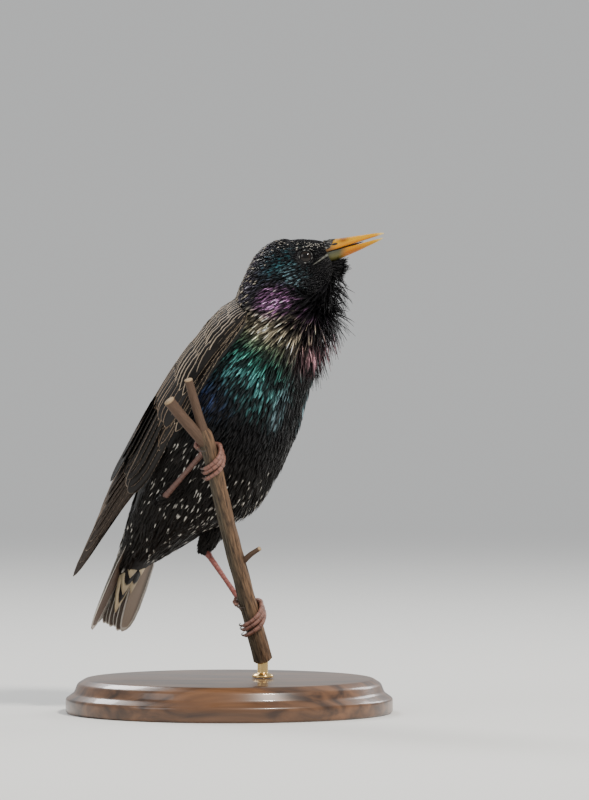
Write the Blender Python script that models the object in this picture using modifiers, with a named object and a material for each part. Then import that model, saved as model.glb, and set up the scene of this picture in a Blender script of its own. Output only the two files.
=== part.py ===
"""A common starling in song, life size, clinging to a cut twig on a turned display stand.

Lengths are in millimetres and angles in degrees until a mesh is made, which is in metres.
+Z is up, +X is the way the bill points as seen from the front, and -Y is the viewer's side.
"""

import math
import random

import bmesh
import bpy
import numpy as np
from mathutils import Matrix, Vector
from mathutils.bvhtree import BVHTree

MM = 0.001
GAP = 0.3
random.seed(13)

# Stand
BASE_RADIUS = 67.0
BASE_HEIGHT = 14.0
ROD_RADIUS = 2.2
COLLAR_RADIUS = 4.4

# Head
EYE_RADIUS = 3.3
EYE_SHOWS = 1.0
EYE_AHEAD = 2.7
EYE_ANGLE = 82
LID_RADIUS = 0.62
LID_OPENING = 2.95
LID_BEHIND = 1.05
LID_SIDES = 14
BILL_LENGTH = 23.5
BILL_RISE = 16.5
BILL_TURN = 10.0
BILL_OPEN = 2.6
BILL_ROOM = 0.4
LOWER_BILL_SHORTER = 1.0
CHIN_AHEAD = 3.6
CHIN_BELOW = 6.6
CHIN_RADII = (5.2, 4.0, 3.4)

# Wings and tail
VANE = 0.6
TAIL_TIP = 28.8

# Legs
TOE_RADIUS = 1.1
CLAW_TIP = 0.3
HOCK_RADIUS = 1.85
PALM_RADII = (2.3, 2.3, 1.9)
PALM_ROOM = 0.4


class Station:
    """One cross-section of the body: its centre, half sizes and heading."""

    def __init__(self, x, y, z, side, back, belly, turn):
        self.row = (x, y, z, side, back, belly, turn)


# The body from the bill's base to the root of the tail. Side, back and belly are half sizes.
STATIONS = {
    "bill_base": Station(40.8, -19.1, 189.0, 5.4, 4.4, 9.2, 10),
    "lores": Station(36.4, -18.3, 187.2, 8.6, 7.6, 15.6, 10),
    "eyes": Station(31.2, -17.4, 184.6, 10.9, 10.9, 20.2, 11),
    "crown": Station(24.6, -16.2, 180.4, 13.2, 15.0, 23.0, 14),
    "nape": Station(19.4, -15.0, 172.6, 14.6, 14.9, 24.0, 19),
    "neck": Station(16.4, -13.6, 161.6, 18.0, 15.8, 23.6, 25),
    "shoulders": Station(12.5, -11.4, 147.6, 23.0, 20.0, 24.4, 29),
    "breast": Station(4.5, -6.8, 132.0, 26.2, 21.6, 28.8, 30),
    "belly": Station(-4.9, -1.4, 116.1, 26.8, 21.8, 31.6, 30),
    "flanks": Station(-13.7, 3.7, 100.9, 25.0, 20.0, 30.6, 30),
    "vent": Station(-23.9, 9.4, 84.2, 19.4, 15.6, 18.8, 30),
    "rump": Station(-33.4, 14.2, 69.8, 13.0, 10.6, 10.4, 30),
    "tail_root": Station(-40.4, 17.9, 59.0, 9.6, 5.4, 5.4, 30),
}
ROWS = np.array([station.row for station in STATIONS.values()])
STEPS = np.linalg.norm(np.diff(ROWS[:, :3], axis=0), axis=1)
KNOTS = np.concatenate([[0.0], np.cumsum(STEPS)])
AT = dict(zip(STATIONS, KNOTS))
ROUNDNESS = 2.15
BODY_STEP = 6.2


def smooth_rows(u):
    """Every column of the station table at body length u, on a cubic through the stations."""
    i = int(np.clip(np.searchsorted(KNOTS, u) - 1, 0, len(KNOTS) - 2))
    width = KNOTS[i + 1] - KNOTS[i]
    t = (u - KNOTS[i]) / width
    slopes = []
    for k in (i, i + 1):
        low, high = max(k - 1, 0), min(k + 1, len(KNOTS) - 1)
        slopes.append((ROWS[high] - ROWS[low]) / (KNOTS[high] - KNOTS[low]) * width)
    t2, t3 = t * t, t * t * t
    return (
        (2 * t3 - 3 * t2 + 1) * ROWS[i]
        + (t3 - 2 * t2 + t) * slopes[0]
        + (3 * t2 - 2 * t3) * ROWS[i + 1]
        + (t3 - t2) * slopes[1]
    )


def section(u):
    """Centre, forward, right and dorsal directions, and the half sizes of the body at length u."""
    row = smooth_rows(u)
    ahead, behind = smooth_rows(max(u - 0.5, 0.0)), smooth_rows(min(u + 0.5, KNOTS[-1]))
    forward = Vector(ahead[:3] - behind[:3]).normalized()
    turn = math.radians(row[6])
    right = Vector((-math.sin(turn), -math.cos(turn), 0.0))
    dorsal = right.cross(forward).normalized()
    right = forward.cross(dorsal).normalized()
    return Vector(row[:3]), forward, right, dorsal, row[3], row[4], row[5]


def signed_power(value, power):
    return math.copysign(abs(value) ** power, value)


def body_point(u, angle, lift=0.0):
    """A point of the body's surface. Angle 0 is the back, 90 the right side and 180 the belly."""
    centre, _, right, dorsal, side, back, belly = section(u)
    a = math.radians(angle)
    across = signed_power(math.sin(a), 2 / ROUNDNESS) * (side + lift)
    height = signed_power(math.cos(a), 2 / ROUNDNESS)
    height *= (back if height > 0 else belly) + lift
    return centre + right * across + dorsal * height


# Meshes

parts = bpy.data.collections.new("starling")
cutters = bpy.data.collections.new("cutters")
model = bpy.data.objects.new("model_frame", None)


def clear_scene():
    for obj in list(bpy.data.objects):
        if obj != model:
            bpy.data.objects.remove(obj)
    for collection in (parts, cutters):
        bpy.context.scene.collection.children.link(collection)
    parts.objects.link(model)


def material(name, colour, roughness, metallic=0.0):
    made = bpy.data.materials.get(name)
    if made is None:
        made = bpy.data.materials.new(name)
        made.use_nodes = True
        shader = made.node_tree.nodes["Principled BSDF"]
        shader.inputs["Base Color"].default_value = (*colour, 1.0)
        shader.inputs["Roughness"].default_value = roughness
        shader.inputs["Metallic"].default_value = metallic
    return made


def plumage_material():
    return material("plumage", (0.018, 0.022, 0.026), 0.38)


def solid(name, points, faces, finish=None, collection=None):
    """A closed mesh object from points in millimetres, with its faces turned outwards."""
    mesh = bpy.data.meshes.new(name)
    mesh.from_pydata([Vector(p) * MM for p in points], [], faces)
    shaped = bmesh.new()
    shaped.from_mesh(mesh)
    bmesh.ops.recalc_face_normals(shaped, faces=shaped.faces)
    shaped.to_mesh(mesh)
    shaped.free()
    obj = bpy.data.objects.new(name, mesh)
    (collection or parts).objects.link(obj)
    if finish:
        mesh.materials.append(finish)
    return obj


def triangles_between(first, second):
    """The triangles of a strip between two rings of point numbers, cut the same way all round."""
    count = len(first)
    faces = []
    for i in range(count):
        j = (i + 1) % count
        faces.append((first[i], second[i], second[j]))
        faces.append((first[i], second[j], first[j]))
    return faces


def loft(name, rings, finish=None, collection=None):
    """A closed solid through rings of equally many points, each end closed by a fan."""
    size = len(rings[0])
    points = [p for ring in rings for p in ring]
    numbers = [list(range(k * size, (k + 1) * size)) for k in range(len(rings))]
    faces = []
    for first, second in zip(numbers, numbers[1:]):
        faces += triangles_between(first, second)
    for ring in (numbers[0], numbers[-1]):
        if size == 4:
            faces += [(ring[0], ring[1], ring[2]), (ring[0], ring[2], ring[3])]
            continue
        middle = sum((Vector(points[n]) for n in ring), Vector()) / size
        points.append(middle)
        hub = len(points) - 1
        faces += [(ring[i], ring[(i + 1) % size], hub) for i in range(size)]
    return solid(name, points, faces, finish, collection)


def limb(name, points, radii, collection=None, resolution=1):
    """A tube of changing radius along points, made as a bevelled curve and kept as a mesh."""
    curve = bpy.data.curves.new(name, "CURVE")
    curve.dimensions = "3D"
    curve.bevel_depth = MM
    curve.bevel_resolution = resolution
    curve.use_fill_caps = True
    spline = curve.splines.new("POLY")
    spline.points.add(len(points) - 1)
    for spot, place, radius in zip(spline.points, points, radii):
        spot.co = (*(Vector(place) * MM), 1.0)
        spot.radius = radius
    guide = bpy.data.objects.new(name + "_guide", curve)
    bpy.context.scene.collection.objects.link(guide)
    bpy.context.view_layer.update()
    evaluated = guide.evaluated_get(bpy.context.evaluated_depsgraph_get())
    mesh = bpy.data.meshes.new_from_object(evaluated)
    bpy.data.objects.remove(guide)
    shaped = bmesh.new()
    shaped.from_mesh(mesh)
    bmesh.ops.remove_doubles(shaped, verts=shaped.verts, dist=0.00001)
    bmesh.ops.triangulate(shaped, faces=shaped.faces)
    bmesh.ops.recalc_face_normals(shaped, faces=shaped.faces)
    shaped.to_mesh(mesh)
    shaped.free()
    mesh.name = name
    obj = bpy.data.objects.new(name, mesh)
    (collection or parts).objects.link(obj)
    return obj


def ball(name, centre, radii, turn=Matrix(), segments=16, rings=10, collection=None):
    """An ellipsoid as a sphere primitive, scaled and turned in its mesh."""
    mesh = bpy.data.meshes.new(name)
    shaped = bmesh.new()
    bmesh.ops.create_uvsphere(shaped, u_segments=segments, v_segments=rings, radius=1.0)
    scale = Matrix.Diagonal((*[r * MM for r in radii], 1.0))
    place = Matrix.Translation(Vector(centre) * MM)
    bmesh.ops.transform(shaped, matrix=place @ turn.to_4x4() @ scale, verts=shaped.verts)
    bmesh.ops.recalc_face_normals(shaped, faces=shaped.faces)
    shaped.to_mesh(mesh)
    shaped.free()
    obj = bpy.data.objects.new(name, mesh)
    (collection or parts).objects.link(obj)
    return obj


def block(name, centre, size, turn=Matrix()):
    """A box as a cube primitive, scaled and turned in its mesh, for cutting with."""
    mesh = bpy.data.meshes.new(name)
    shaped = bmesh.new()
    bmesh.ops.create_cube(shaped, size=1.0)
    scale = Matrix.Diagonal((*[length * MM for length in size], 1.0))
    place = Matrix.Translation(Vector(centre) * MM)
    bmesh.ops.transform(shaped, matrix=place @ turn.to_4x4() @ scale, verts=shaped.verts)
    bmesh.ops.recalc_face_normals(shaped, faces=shaped.faces)
    shaped.to_mesh(mesh)
    shaped.free()
    obj = bpy.data.objects.new(name, mesh)
    cutters.objects.link(obj)
    return obj


def apply_modifiers(obj):
    graph = bpy.context.evaluated_depsgraph_get()
    mesh = bpy.data.meshes.new_from_object(obj.evaluated_get(graph))
    obj.modifiers.clear()
    obj.data = mesh


def keep_largest(obj):
    """Drops every closed surface of the mesh but the one with the most volume."""
    shaped = bmesh.new()
    shaped.from_mesh(obj.data)
    left = set(shaped.faces)
    groups = []
    while left:
        group, edge = set(), [left.pop()]
        while edge:
            face = edge.pop()
            group.add(face)
            for side in face.edges:
                for other in side.link_faces:
                    if other in left:
                        left.discard(other)
                        edge.append(other)
        groups.append(group)
    groups.sort(key=lambda faces: sum(face.calc_area() for face in faces))
    dropped = {vert for group in groups[:-1] for face in group for vert in face.verts}
    bmesh.ops.delete(shaped, geom=list(dropped), context="VERTS")
    bmesh.ops.triangulate(shaped, faces=shaped.faces)
    bmesh.ops.recalc_face_normals(shaped, faces=shaped.faces)
    shaped.to_mesh(obj.data)
    shaped.free()


def combine(obj, others, operation, solver="EXACT"):
    """Joins the others to obj, or cuts them from it, and removes them."""
    group = bpy.data.collections.new(obj.name + "_pieces")
    bpy.context.scene.collection.children.link(group)
    for other in others:
        for home in list(other.users_collection):
            home.objects.unlink(other)
        group.objects.link(other)
        other.hide_render = True
        other.display_type = "WIRE"
    change = obj.modifiers.new(operation.lower(), "BOOLEAN")
    change.operation = operation
    change.operand_type = "COLLECTION"
    change.collection = group
    change.solver = solver
    bpy.context.view_layer.update()
    apply_modifiers(obj)
    for other in list(group.objects):
        bpy.data.objects.remove(other)
    bpy.data.collections.remove(group)
    keep_largest(obj)
    return obj


def finish_node(obj, finish, smooth_angle=40):
    """Gives a node its material and shading, its origin in its middle, and the model's parent."""
    obj.data.materials.clear()
    obj.data.materials.append(finish)
    obj.data.shade_smooth()
    obj.data.set_sharp_from_angle(angle=math.radians(smooth_angle))
    for home in list(obj.users_collection):
        home.objects.unlink(obj)
    parts.objects.link(obj)
    corners = [Vector(corner) for corner in obj.bound_box]
    middle = sum(corners, Vector()) / 8
    obj.data.transform(Matrix.Translation(-middle))
    obj.location = middle
    obj.parent = model
    return obj


# Feathers

VANE_SHAPES = {
    "flight": ((0.0, 0.6), (0.3, 0.95), (0.88, 0.78), (1.0, 0.2)),
    "covert": ((0.0, 0.6), (0.75, 0.95), (1.0, 0.24)),
    "hackle": ((0.0, 0.55), (0.35, 1.0), (0.72, 0.62), (1.0, 0.14)),
}


def vane(name, place, width, shape="flight", thickness=VANE, ridge=0.3, collection=None):
    """A feather as a closed blade. Place gives the middle line's point, side and normal at 0 to 1."""
    rings = []
    for along, share in VANE_SHAPES[shape]:
        point, side, normal = place(along)
        half = width / 2 * share
        thin = thickness / 2 * (1.0 if along < 0.9 else 0.6)
        crest = ridge * share
        left, right = point - side * half, point + side * half
        ring = [left + normal * thin, right + normal * thin]
        ring += [right - normal * thin, left - normal * thin]
        if ridge:
            ring.insert(1, point + normal * (thin + crest))
            ring.insert(4, point + normal * (crest - thin))
        rings.append(ring)
    return loft(name, rings, collection=collection)


def lock(name, path, side, normal, width, room=0.0, collection=None):
    """A hackle feather as a flat tapered blade along a list of points, with room all round it."""
    rings = []
    for (along, share), point in zip(VANE_SHAPES["hackle"], path):
        half = width / 2 * share + room
        thin = HACKLE_BLADE / 2 * (1.0 if along < 0.9 else 0.5) + room
        rings.append(
            [
                point - side * half + normal * thin,
                point + side * half + normal * thin,
                point + side * half - normal * thin,
                point - side * half - normal * thin,
            ]
        )
    return loft(name, rings, collection=collection)


# Head, neck and torso

RING_SIDES = 22
HACKLE_ROOT = 1.4
HACKLE_BEND = 0.3
HACKLE_BLADE = 0.5
HACKLE_ROOM = 0.4
CUT_BLOCK = 160.0
RAY_LENGTH = 80.0
CUT_HEAD = (AT["crown"] + AT["nape"]) / 2
CUT_NECK = (AT["neck"] + AT["shoulders"]) / 2
CUT_TAIL = AT["rump"] - 1.0


def body_rings(start, end, step, lift=0.0):
    count = max(2, round((end - start) / step) + 1)
    turns = [360 * k / RING_SIDES for k in range(RING_SIDES)]
    return [
        [body_point(u, angle, lift) for angle in turns]
        for u in np.linspace(start, end, count)
    ]


def half_space(name, u, towards_tail, over=GAP / 2):
    """A cube that covers all of the body behind or before a cut across it, and a little over."""
    centre, forward, right, dorsal, *_ = section(u)
    way = -forward if towards_tail else forward
    middle = centre + way * (CUT_BLOCK / 2 - over)
    turn = Matrix((forward, right, dorsal)).transposed()
    return block(name, middle, (CUT_BLOCK, CUT_BLOCK, CUT_BLOCK), turn)


def whole_body(lift=0.0):
    """Head, neck and torso in one surface, or the room round them when it is lifted."""
    rings = body_rings(0.0, AT["rump"] + 4.0, BODY_STEP, lift)
    return loft("whole", rings, collection=cutters if lift else parts)


def copy_of(obj, name):
    made = bpy.data.objects.new(name, obj.data.copy())
    parts.objects.link(made)
    return made


def surface_of(obj):
    """A tree for finding where a ray from inside leaves the mesh, in millimetres."""
    points = [v.co / MM for v in obj.data.vertices]
    return BVHTree.FromPolygons(points, [list(p.vertices) for p in obj.data.polygons])


def on_surface(tree, u, angle):
    """Where the body's surface is at length u and angle, and its outward normal."""
    centre, _, right, dorsal, *_ = section(u)
    a = math.radians(angle)
    ray = right * math.sin(a) + dorsal * math.cos(a)
    far = centre + ray * RAY_LENGTH
    hit, normal, *_ = tree.ray_cast(far, -ray)
    if normal.dot(ray) < 0:
        normal = -normal
    return hit, normal


HACKLE_ROWS = (
    # node, body length, angle to each side of the throat's middle, how many, length, width, rise
    ("head", 1.4, 38, 5, 7.0, 3.2, 82),
    ("head", AT["lores"] + 0.6, 48, 6, 9.0, 3.4, 78),
    ("head", AT["eyes"] + 0.2, 52, 7, 12.0, 3.7, 74),
    ("head", AT["eyes"] + 4.8, 56, 8, 16.5, 3.9, 72),
    ("neck", AT["nape"] - 2.0, 60, 8, 18.0, 4.2, 70),
    ("neck", AT["nape"] + 3.2, 62, 8, 17.5, 4.3, 56),
    ("neck", AT["neck"] - 2.6, 64, 8, 17.0, 4.4, 38),
    ("neck", AT["neck"] + 2.8, 66, 8, 15.0, 4.4, 20),
)


def hackle_plan(tree):
    """Path, side, normal and width of each of the throat's long feathers, by the node they grow on."""
    plan = {"head": [], "neck": []}
    for number, (owner, u, spread, count, length, width, rise) in enumerate(HACKLE_ROWS):
        for k in range(count):
            angle = 180 + spread * (2 * (k + 0.5 * (number % 2)) / (count - 0.5) - 1)
            angle += random.uniform(-2.0, 2.0)
            root, normal = on_surface(tree, u + random.uniform(-0.8, 0.8), angle)
            _, forward, *_ = section(u)
            lie = (-forward - normal * (-forward).dot(normal)).normalized()
            side = normal.cross(lie).normalized()
            reach = length * random.uniform(0.88, 1.1)
            lift = math.radians(rise * (1 - 0.35 * abs(angle - 180) / spread))
            path = []
            for along, _ in VANE_SHAPES["hackle"]:
                bend = lift * (1.0 - HACKLE_BEND * along)
                step = lie * math.cos(bend) + normal * math.sin(bend)
                path.append(root - normal * HACKLE_ROOT + step * reach * along)
            facing = lift * 0.75
            facing = (normal * math.cos(facing) - lie * math.sin(facing)).normalized()
            plan[owner].append((path, side, facing, width))
    return plan


def hackles(plan, room=0.0):
    """The planned feathers as blades. With room they are larger all round, to cut by."""
    made = []
    for path, side, facing, width in plan:
        tip = path[-1] + (path[-1] - path[-2]).normalized() * 2 * room
        made.append(lock("hackle", path[:-1] + [tip], side, facing, width, room))
    return made


def eye_place(side):
    """Centre of the eye and the way it looks. Side is 1 for the right eye and -1 for the left."""
    u = AT["eyes"] - EYE_AHEAD
    _, forward, right, dorsal, *_ = section(u)
    surface = body_point(u, EYE_ANGLE * side)
    look = (right * side + forward * 0.18 + dorsal * 0.06).normalized()
    return surface - look * (EYE_RADIUS - EYE_SHOWS), look


def lid_ring(name, centre, look):
    """A lid: a torus about the line of sight."""
    bpy.ops.mesh.primitive_torus_add(
        major_segments=LID_SIDES,
        minor_segments=5,
        major_radius=LID_OPENING * MM,
        minor_radius=LID_RADIUS * MM,
    )
    ring = bpy.context.object
    ring.name = name
    turn = look.to_track_quat("Z", "Y").to_matrix().to_4x4()
    ring.data.transform(Matrix.Translation(centre * MM) @ turn)
    return ring


def chin():
    """The feathers that stand forward under the lower bill, as one soft point."""
    base, forward, right, up = bill_frame()
    turn = Matrix((forward, right, up)).transposed()
    return ball("chin", base + forward * CHIN_AHEAD - up * CHIN_BELOW, CHIN_RADII, turn, 16, 10)


def build_head(whole, plan):
    head = copy_of(whole, "head")
    combine(head, [half_space("behind_head", CUT_HEAD, True)], "DIFFERENCE")
    lids, sockets = [], []
    for side, name in ((1, "right"), (-1, "left")):
        centre, look = eye_place(side)
        lid_centre = centre + look * (EYE_RADIUS - LID_BEHIND)
        lids.append(lid_ring("lid_" + name, lid_centre, look))
        sockets.append(ball("socket_" + name, centre, [EYE_RADIUS + GAP] * 3, Matrix(), 14, 8))
    combine(head, lids + hackles(plan) + [chin()], "UNION")
    combine(head, sockets + [mandible("bill_room", False, BILL_LENGTH, BILL_ROOM)], "DIFFERENCE")
    return finish_node(head, plumage_material())


def build_eyes():
    finish = material("eye", (0.012, 0.008, 0.006), 0.06)
    for side, name in ((1, "right"), (-1, "left")):
        centre, _ = eye_place(side)
        finish_node(ball("eye_" + name, centre, [EYE_RADIUS] * 3, Matrix(), 14, 8), finish)


def build_neck(whole, plan):
    neck = copy_of(whole, "neck")
    combine(neck, [half_space("behind_neck", CUT_NECK, True)], "DIFFERENCE")
    combine(neck, hackles(plan["neck"]), "UNION")
    ahead = [half_space("before_neck", CUT_HEAD, False)] + hackles(plan["head"], HACKLE_ROOM)
    combine(neck, ahead, "DIFFERENCE")
    return finish_node(neck, plumage_material())


def build_torso(whole, plan):
    torso = copy_of(whole, "torso")
    ends = [half_space("before_torso", CUT_NECK, False), half_space("behind_torso", CUT_TAIL, True)]
    combine(torso, ends + hackles(plan["neck"], HACKLE_ROOM), "DIFFERENCE")
    return finish_node(torso, plumage_material())


# Bill

def bill_frame():
    """Middle of the gape, and the bill's forward, right and up directions."""
    centre, _, right, *_ = section(0.0)
    rise = math.radians(BILL_RISE)
    turn = math.radians(BILL_TURN)
    level = Vector((math.cos(turn), -math.sin(turn), 0.0))
    forward = (level * math.cos(rise) + Vector((0, 0, 1)) * math.sin(rise)).normalized()
    up = right.cross(forward).normalized()
    return centre, forward, right, up


BILL_PROFILE = (
    # share of the length, half width, height of the upper half, depth of the lower half
    (0.0, 4.2, 4.3, 4.0),
    (0.12, 3.6, 4.05, 3.7),
    (0.3, 2.75, 3.45, 3.2),
    (0.5, 2.05, 2.75, 2.6),
    (0.7, 1.5, 2.0, 1.85),
    (0.87, 1.0, 1.3, 1.15),
    (1.0, 0.42, 0.55, 0.5),
)
BILL_SIDES = 6
NOSTRIL_PLACE = (3.6, 3.3, 2.15)
NOSTRIL_RADII = (1.35, 0.75, 0.5)


def mandible(name, above, length, room=0.0):
    """Half of the bill, opened a little at the gape. With room it is larger all round, to cut by."""
    base, forward, right, up = bill_frame()
    tilt = math.radians(BILL_OPEN / 2) * (1 if above else -1)
    way = forward * math.cos(tilt) + up * math.sin(tilt)
    rise = right.cross(way).normalized() * (1 if above else -1)
    start = base + forward * GAP
    rings = []
    for share, half, upper, lower in BILL_PROFILE:
        half += room
        height = (upper if above else lower) + room
        centre = start + way * (length * share) + rise * (GAP / 2 - room)
        ring = [centre + right * half, centre - right * half]
        for k in range(1, BILL_SIDES):
            a = math.pi * k / BILL_SIDES
            bow = right * half * math.cos(a) * 0.97
            ring.append(centre - bow + rise * (height + room) * math.sin(a) ** 0.85)
        rings.append(ring)
    return loft(name, rings)


def build_bill():
    finish = material("bill", (0.86, 0.56, 0.12), 0.34)
    base, forward, right, up = bill_frame()
    upper = mandible("bill_upper", True, BILL_LENGTH)
    ahead, aside, above = NOSTRIL_PLACE
    turn = Matrix((forward, right, up)).transposed()
    nostrils = []
    for side in (1, -1):
        centre = base + forward * ahead + up * above + right * aside * side
        nostrils.append(ball("nostril", centre, NOSTRIL_RADII, turn, 10, 6))
    combine(upper, nostrils, "DIFFERENCE")
    lower = mandible("bill_lower", False, BILL_LENGTH - LOWER_BILL_SHORTER)
    for half in (upper, lower):
        behind = half_space("behind_bill", 0.0, True, GAP)
        around = loft("face", body_rings(0.0, 14.0, 3.0, GAP), collection=cutters)
        combine(half, [behind, around], "DIFFERENCE")
    finish_node(upper, finish)
    finish_node(lower, finish)


# Wings

# Along the closed wing: distance down the body, then how far right and dorsal its lower and upper
# edges lie, and how much it bulges between them.
WING_EDGES = np.array(
    (
        (-14.0, 18.5, 5.0, 6.5, 16.5, 1.6),
        (-6.0, 22.5, 4.5, 7.5, 18.8, 2.4),
        (6.0, 26.0, 4.2, 8.0, 19.8, 2.4),
        (20.0, 28.0, 3.6, 8.0, 22.0, 3.4),
        (40.0, 28.4, 1.8, 8.0, 23.4, 5.0),
        (60.0, 26.4, 1.4, 8.6, 22.8, 5.4),
        (80.0, 24.5, 5.0, 12.5, 21.4, 4.2),
        (95.0, 21.5, 9.8, 15.5, 18.2, 2.2),
        (106.0, 20.4, 12.2, 17.6, 16.0, 0.8),
        (121.0, 20.2, 13.6, 19.4, 14.4, 0.1),
    )
)
DOWN = Vector((-0.479, 0.277, -0.833)).normalized()
RIGHT = Vector((-0.5, -0.866, 0.0)).normalized()
DORSAL = RIGHT.cross(-DOWN).normalized()
ORIGIN = Vector((13.5, -12.0, 149.5))

FLIGHT_GROUPS = (
    # how many; then, first and last: root down, root across, tip down, tip across, width, lift
    ("primaries", 5, (36, 34), (0.12, 0.38), (120.5, 89), (0.40, 0.66), (7.4, 9.0), (-1.0, 0.4)),
    ("secondaries", 4, (26, 28), (0.20, 0.62), (73, 67), (0.12, 0.56), (10.6, 11.0), (0.8, 1.8)),
    ("tertials", 3, (24, 24), (0.72, 0.90), (79, 60), (0.64, 0.88), (12.0, 11.0), (2.2, 2.8)),
)
COVERT_GROUPS = (
    ("primary_coverts", 2, (22, 22), (0.06, 0.18), (48, 43), (0.10, 0.24), (7.5, 8.5), (0.8, 1.3)),
    ("greater_coverts", 4, (16, 16), (0.14, 0.78), (40, 39), (0.16, 0.80), (12.0, 12.0), (2.0, 2.6)),
    ("median_coverts", 4, (4, 4), (0.12, 0.76), (25, 24), (0.14, 0.78), (12.0, 12.0), (2.6, 3.0)),
    ("scapulars", 2, (2, -2), (0.84, 1.04), (30, 25), (0.86, 1.04), (13.0, 13.0), (3.2, 3.6)),
)
WING_TILT = 6.0
ROOT_LIFT = 0.8
ROOT_SHARE = 0.35
CORE_LIFT = 1.6
CORE_DEPTH = 8.0
CORE_STEPS = (-13.0, -5.0, 6.0, 20.0, 33.0, 46.0)
CORE_SHARES = (-0.02, 0.25, 0.5, 0.75, 1.04)
TIP_JITTER = 0.7
WIDTH_JITTER = 0.4
LIFT_JITTER = 0.07


def wing_table(down):
    return [np.interp(down, WING_EDGES[:, 0], WING_EDGES[:, k]) for k in range(1, 6)]


def wing_spot(down, across, hand, lift=0.0):
    """A point on the closed wing. Across runs from its lower edge, 0, to its upper edge, 1."""
    low_r, low_d, high_r, high_d, bulge = wing_table(down)
    out = Vector((high_d - low_d, low_r - high_r)).normalized()
    rise = lift + bulge * 4 * across * (1 - across)
    right = low_r + (high_r - low_r) * across + out.x * rise
    back = low_d + (high_d - low_d) * across + out.y * rise
    return ORIGIN + DOWN * down + RIGHT * (right * hand) + DORSAL * back


def wing_normal(down, across, hand):
    along = wing_spot(down + 0.5, across, hand) - wing_spot(down - 0.5, across, hand)
    over = wing_spot(down, across + 0.01, hand) - wing_spot(down, across - 0.01, hand)
    return along.cross(over).normalized() * hand


def wing_vane(name, root, tip, width, lift, hand, shape):
    """One feather of the wing along a line from root to tip on the wing's surface."""

    def spot(along):
        down = root[0] + (tip[0] - root[0]) * along
        across = root[1] + (tip[1] - root[1]) * along
        rise = spread((ROOT_LIFT, lift), min(along / ROOT_SHARE, 1.0))
        return down, across, rise

    def place(along):
        down, across, rise = spot(along)
        (down_2, across_2, _), (down_1, across_1, _) = spot(along + 0.02), spot(along - 0.02)
        point = wing_spot(down, across, hand, rise)
        way = wing_spot(down_2, across_2, hand) - wing_spot(down_1, across_1, hand)
        normal = wing_normal(down, across, hand)
        side = normal.cross(way).normalized() * hand
        tilt = math.radians(WING_TILT)
        tilted = side * math.cos(tilt) + normal * math.sin(tilt)
        return point, tilted, (normal * math.cos(tilt) - side * math.sin(tilt)).normalized()

    return vane(name, place, width, shape, ridge=0.0)


def spread(pair, share):
    return pair[0] + (pair[1] - pair[0]) * share


def uneven(size):
    return random.uniform(-size, size)


def wing_feathers(groups, hand, shape):
    made = []
    for name, count, root_down, root_across, tip_down, tip_across, width, lift in groups:
        for k in range(count):
            share = k / (count - 1)
            root = (spread(root_down, share), spread(root_across, share))
            tip = (spread(tip_down, share) + uneven(TIP_JITTER), spread(tip_across, share))
            wide = spread(width, share) + uneven(WIDTH_JITTER)
            high = spread(lift, share) + uneven(LIFT_JITTER)
            made.append(wing_vane(name, root, tip, wide, high, hand, shape))
    return made


def wing_core(name, hand):
    """The wing's fleshy part under its coverts, from the shoulder back to where the vanes part."""
    rings = []
    for down in CORE_STEPS:
        outer = [wing_spot(down, v, hand, CORE_LIFT) for v in CORE_SHARES]
        inner = [wing_spot(down, v, hand, -CORE_DEPTH) for v in reversed(CORE_SHARES)]
        rings.append(outer + inner)
    return loft(name, rings)


def build_wing(name, hand):
    wing = wing_core(name, hand)
    feathers = wing_feathers(FLIGHT_GROUPS, hand, "flight")
    feathers += wing_feathers(COVERT_GROUPS, hand, "covert")
    combine(wing, feathers, "UNION", "MANIFOLD")
    combine(wing, [whole_body(GAP)], "DIFFERENCE", "MANIFOLD")
    return finish_node(wing, plumage_material())


# Tail

TAIL_ROOT = Vector((-42.6, 18.9, 59.8))
TAIL_DOWN = Vector((-0.348, 0.201, -0.916)).normalized()
TAIL_ROLL = 10.0
RECTRICES = 6
RECTRIX_ROOT = -14.0
RECTRIX_INSET = 1.6
TAIL_SPREAD = 9.4
TAIL_VANE_WIDTH = 9.0
COVERT_ROOT = -19.0
COVERT_LEAN = 0.05

UNDERTAIL_TIERS = (
    # how far past the tail's root the tips reach, how many, across, width, depth at root and tip
    (-4.0, 3, 7.0, 11.0, (-8.4, -7.6)),
    (3.0, 2, 3.8, 11.0, (-7.2, -6.4)),
    (10.5, 2, 2.4, 11.0, (-6.0, -5.0)),
    (20.0, 1, 0.0, 11.0, (-4.6, -3.4)),
)
UPPERTAIL_TIERS = (
    (-1.0, 3, 6.4, 10.0, (6.6, 4.4)),
    (7.0, 2, 3.6, 10.0, (5.4, 3.0)),
)


def tail_axes():
    level = RIGHT - TAIL_DOWN * RIGHT.dot(TAIL_DOWN)
    level.normalize()
    back = level.cross(-TAIL_DOWN).normalized()
    roll = math.radians(TAIL_ROLL)
    across = level * math.cos(roll) + back * math.sin(roll)
    return across, across.cross(-TAIL_DOWN).normalized()


def tail_spot(down, across, back):
    side, dorsal = tail_axes()
    return TAIL_ROOT + TAIL_DOWN * down + side * across + dorsal * back


def rectrix(number, hand):
    """One tail feather. Number 0 is central and lies on top, and 5 is outermost and lowest."""
    side, dorsal = tail_axes()
    share = number / (RECTRICES - 1)
    lean = math.radians(5.0 + 9.0 * share) * hand
    reach = TAIL_TIP - 1.6 * (1 - share) + uneven(0.3)

    def place(along):
        down = spread((RECTRIX_ROOT, reach), along)
        fan = 0.55 + 0.45 * along
        across = hand * spread((RECTRIX_INSET, TAIL_SPREAD), share) * fan
        back = 1.5 - 0.55 * number - 0.3 * (hand < 0) - 1.6 * share**2
        tilted = side * math.cos(lean) - dorsal * math.sin(lean)
        normal = dorsal * math.cos(lean) + side * math.sin(lean)
        return tail_spot(down, across, back), tilted, normal

    return vane("rectrix", place, TAIL_VANE_WIDTH, "flight", ridge=0.0)


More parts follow.
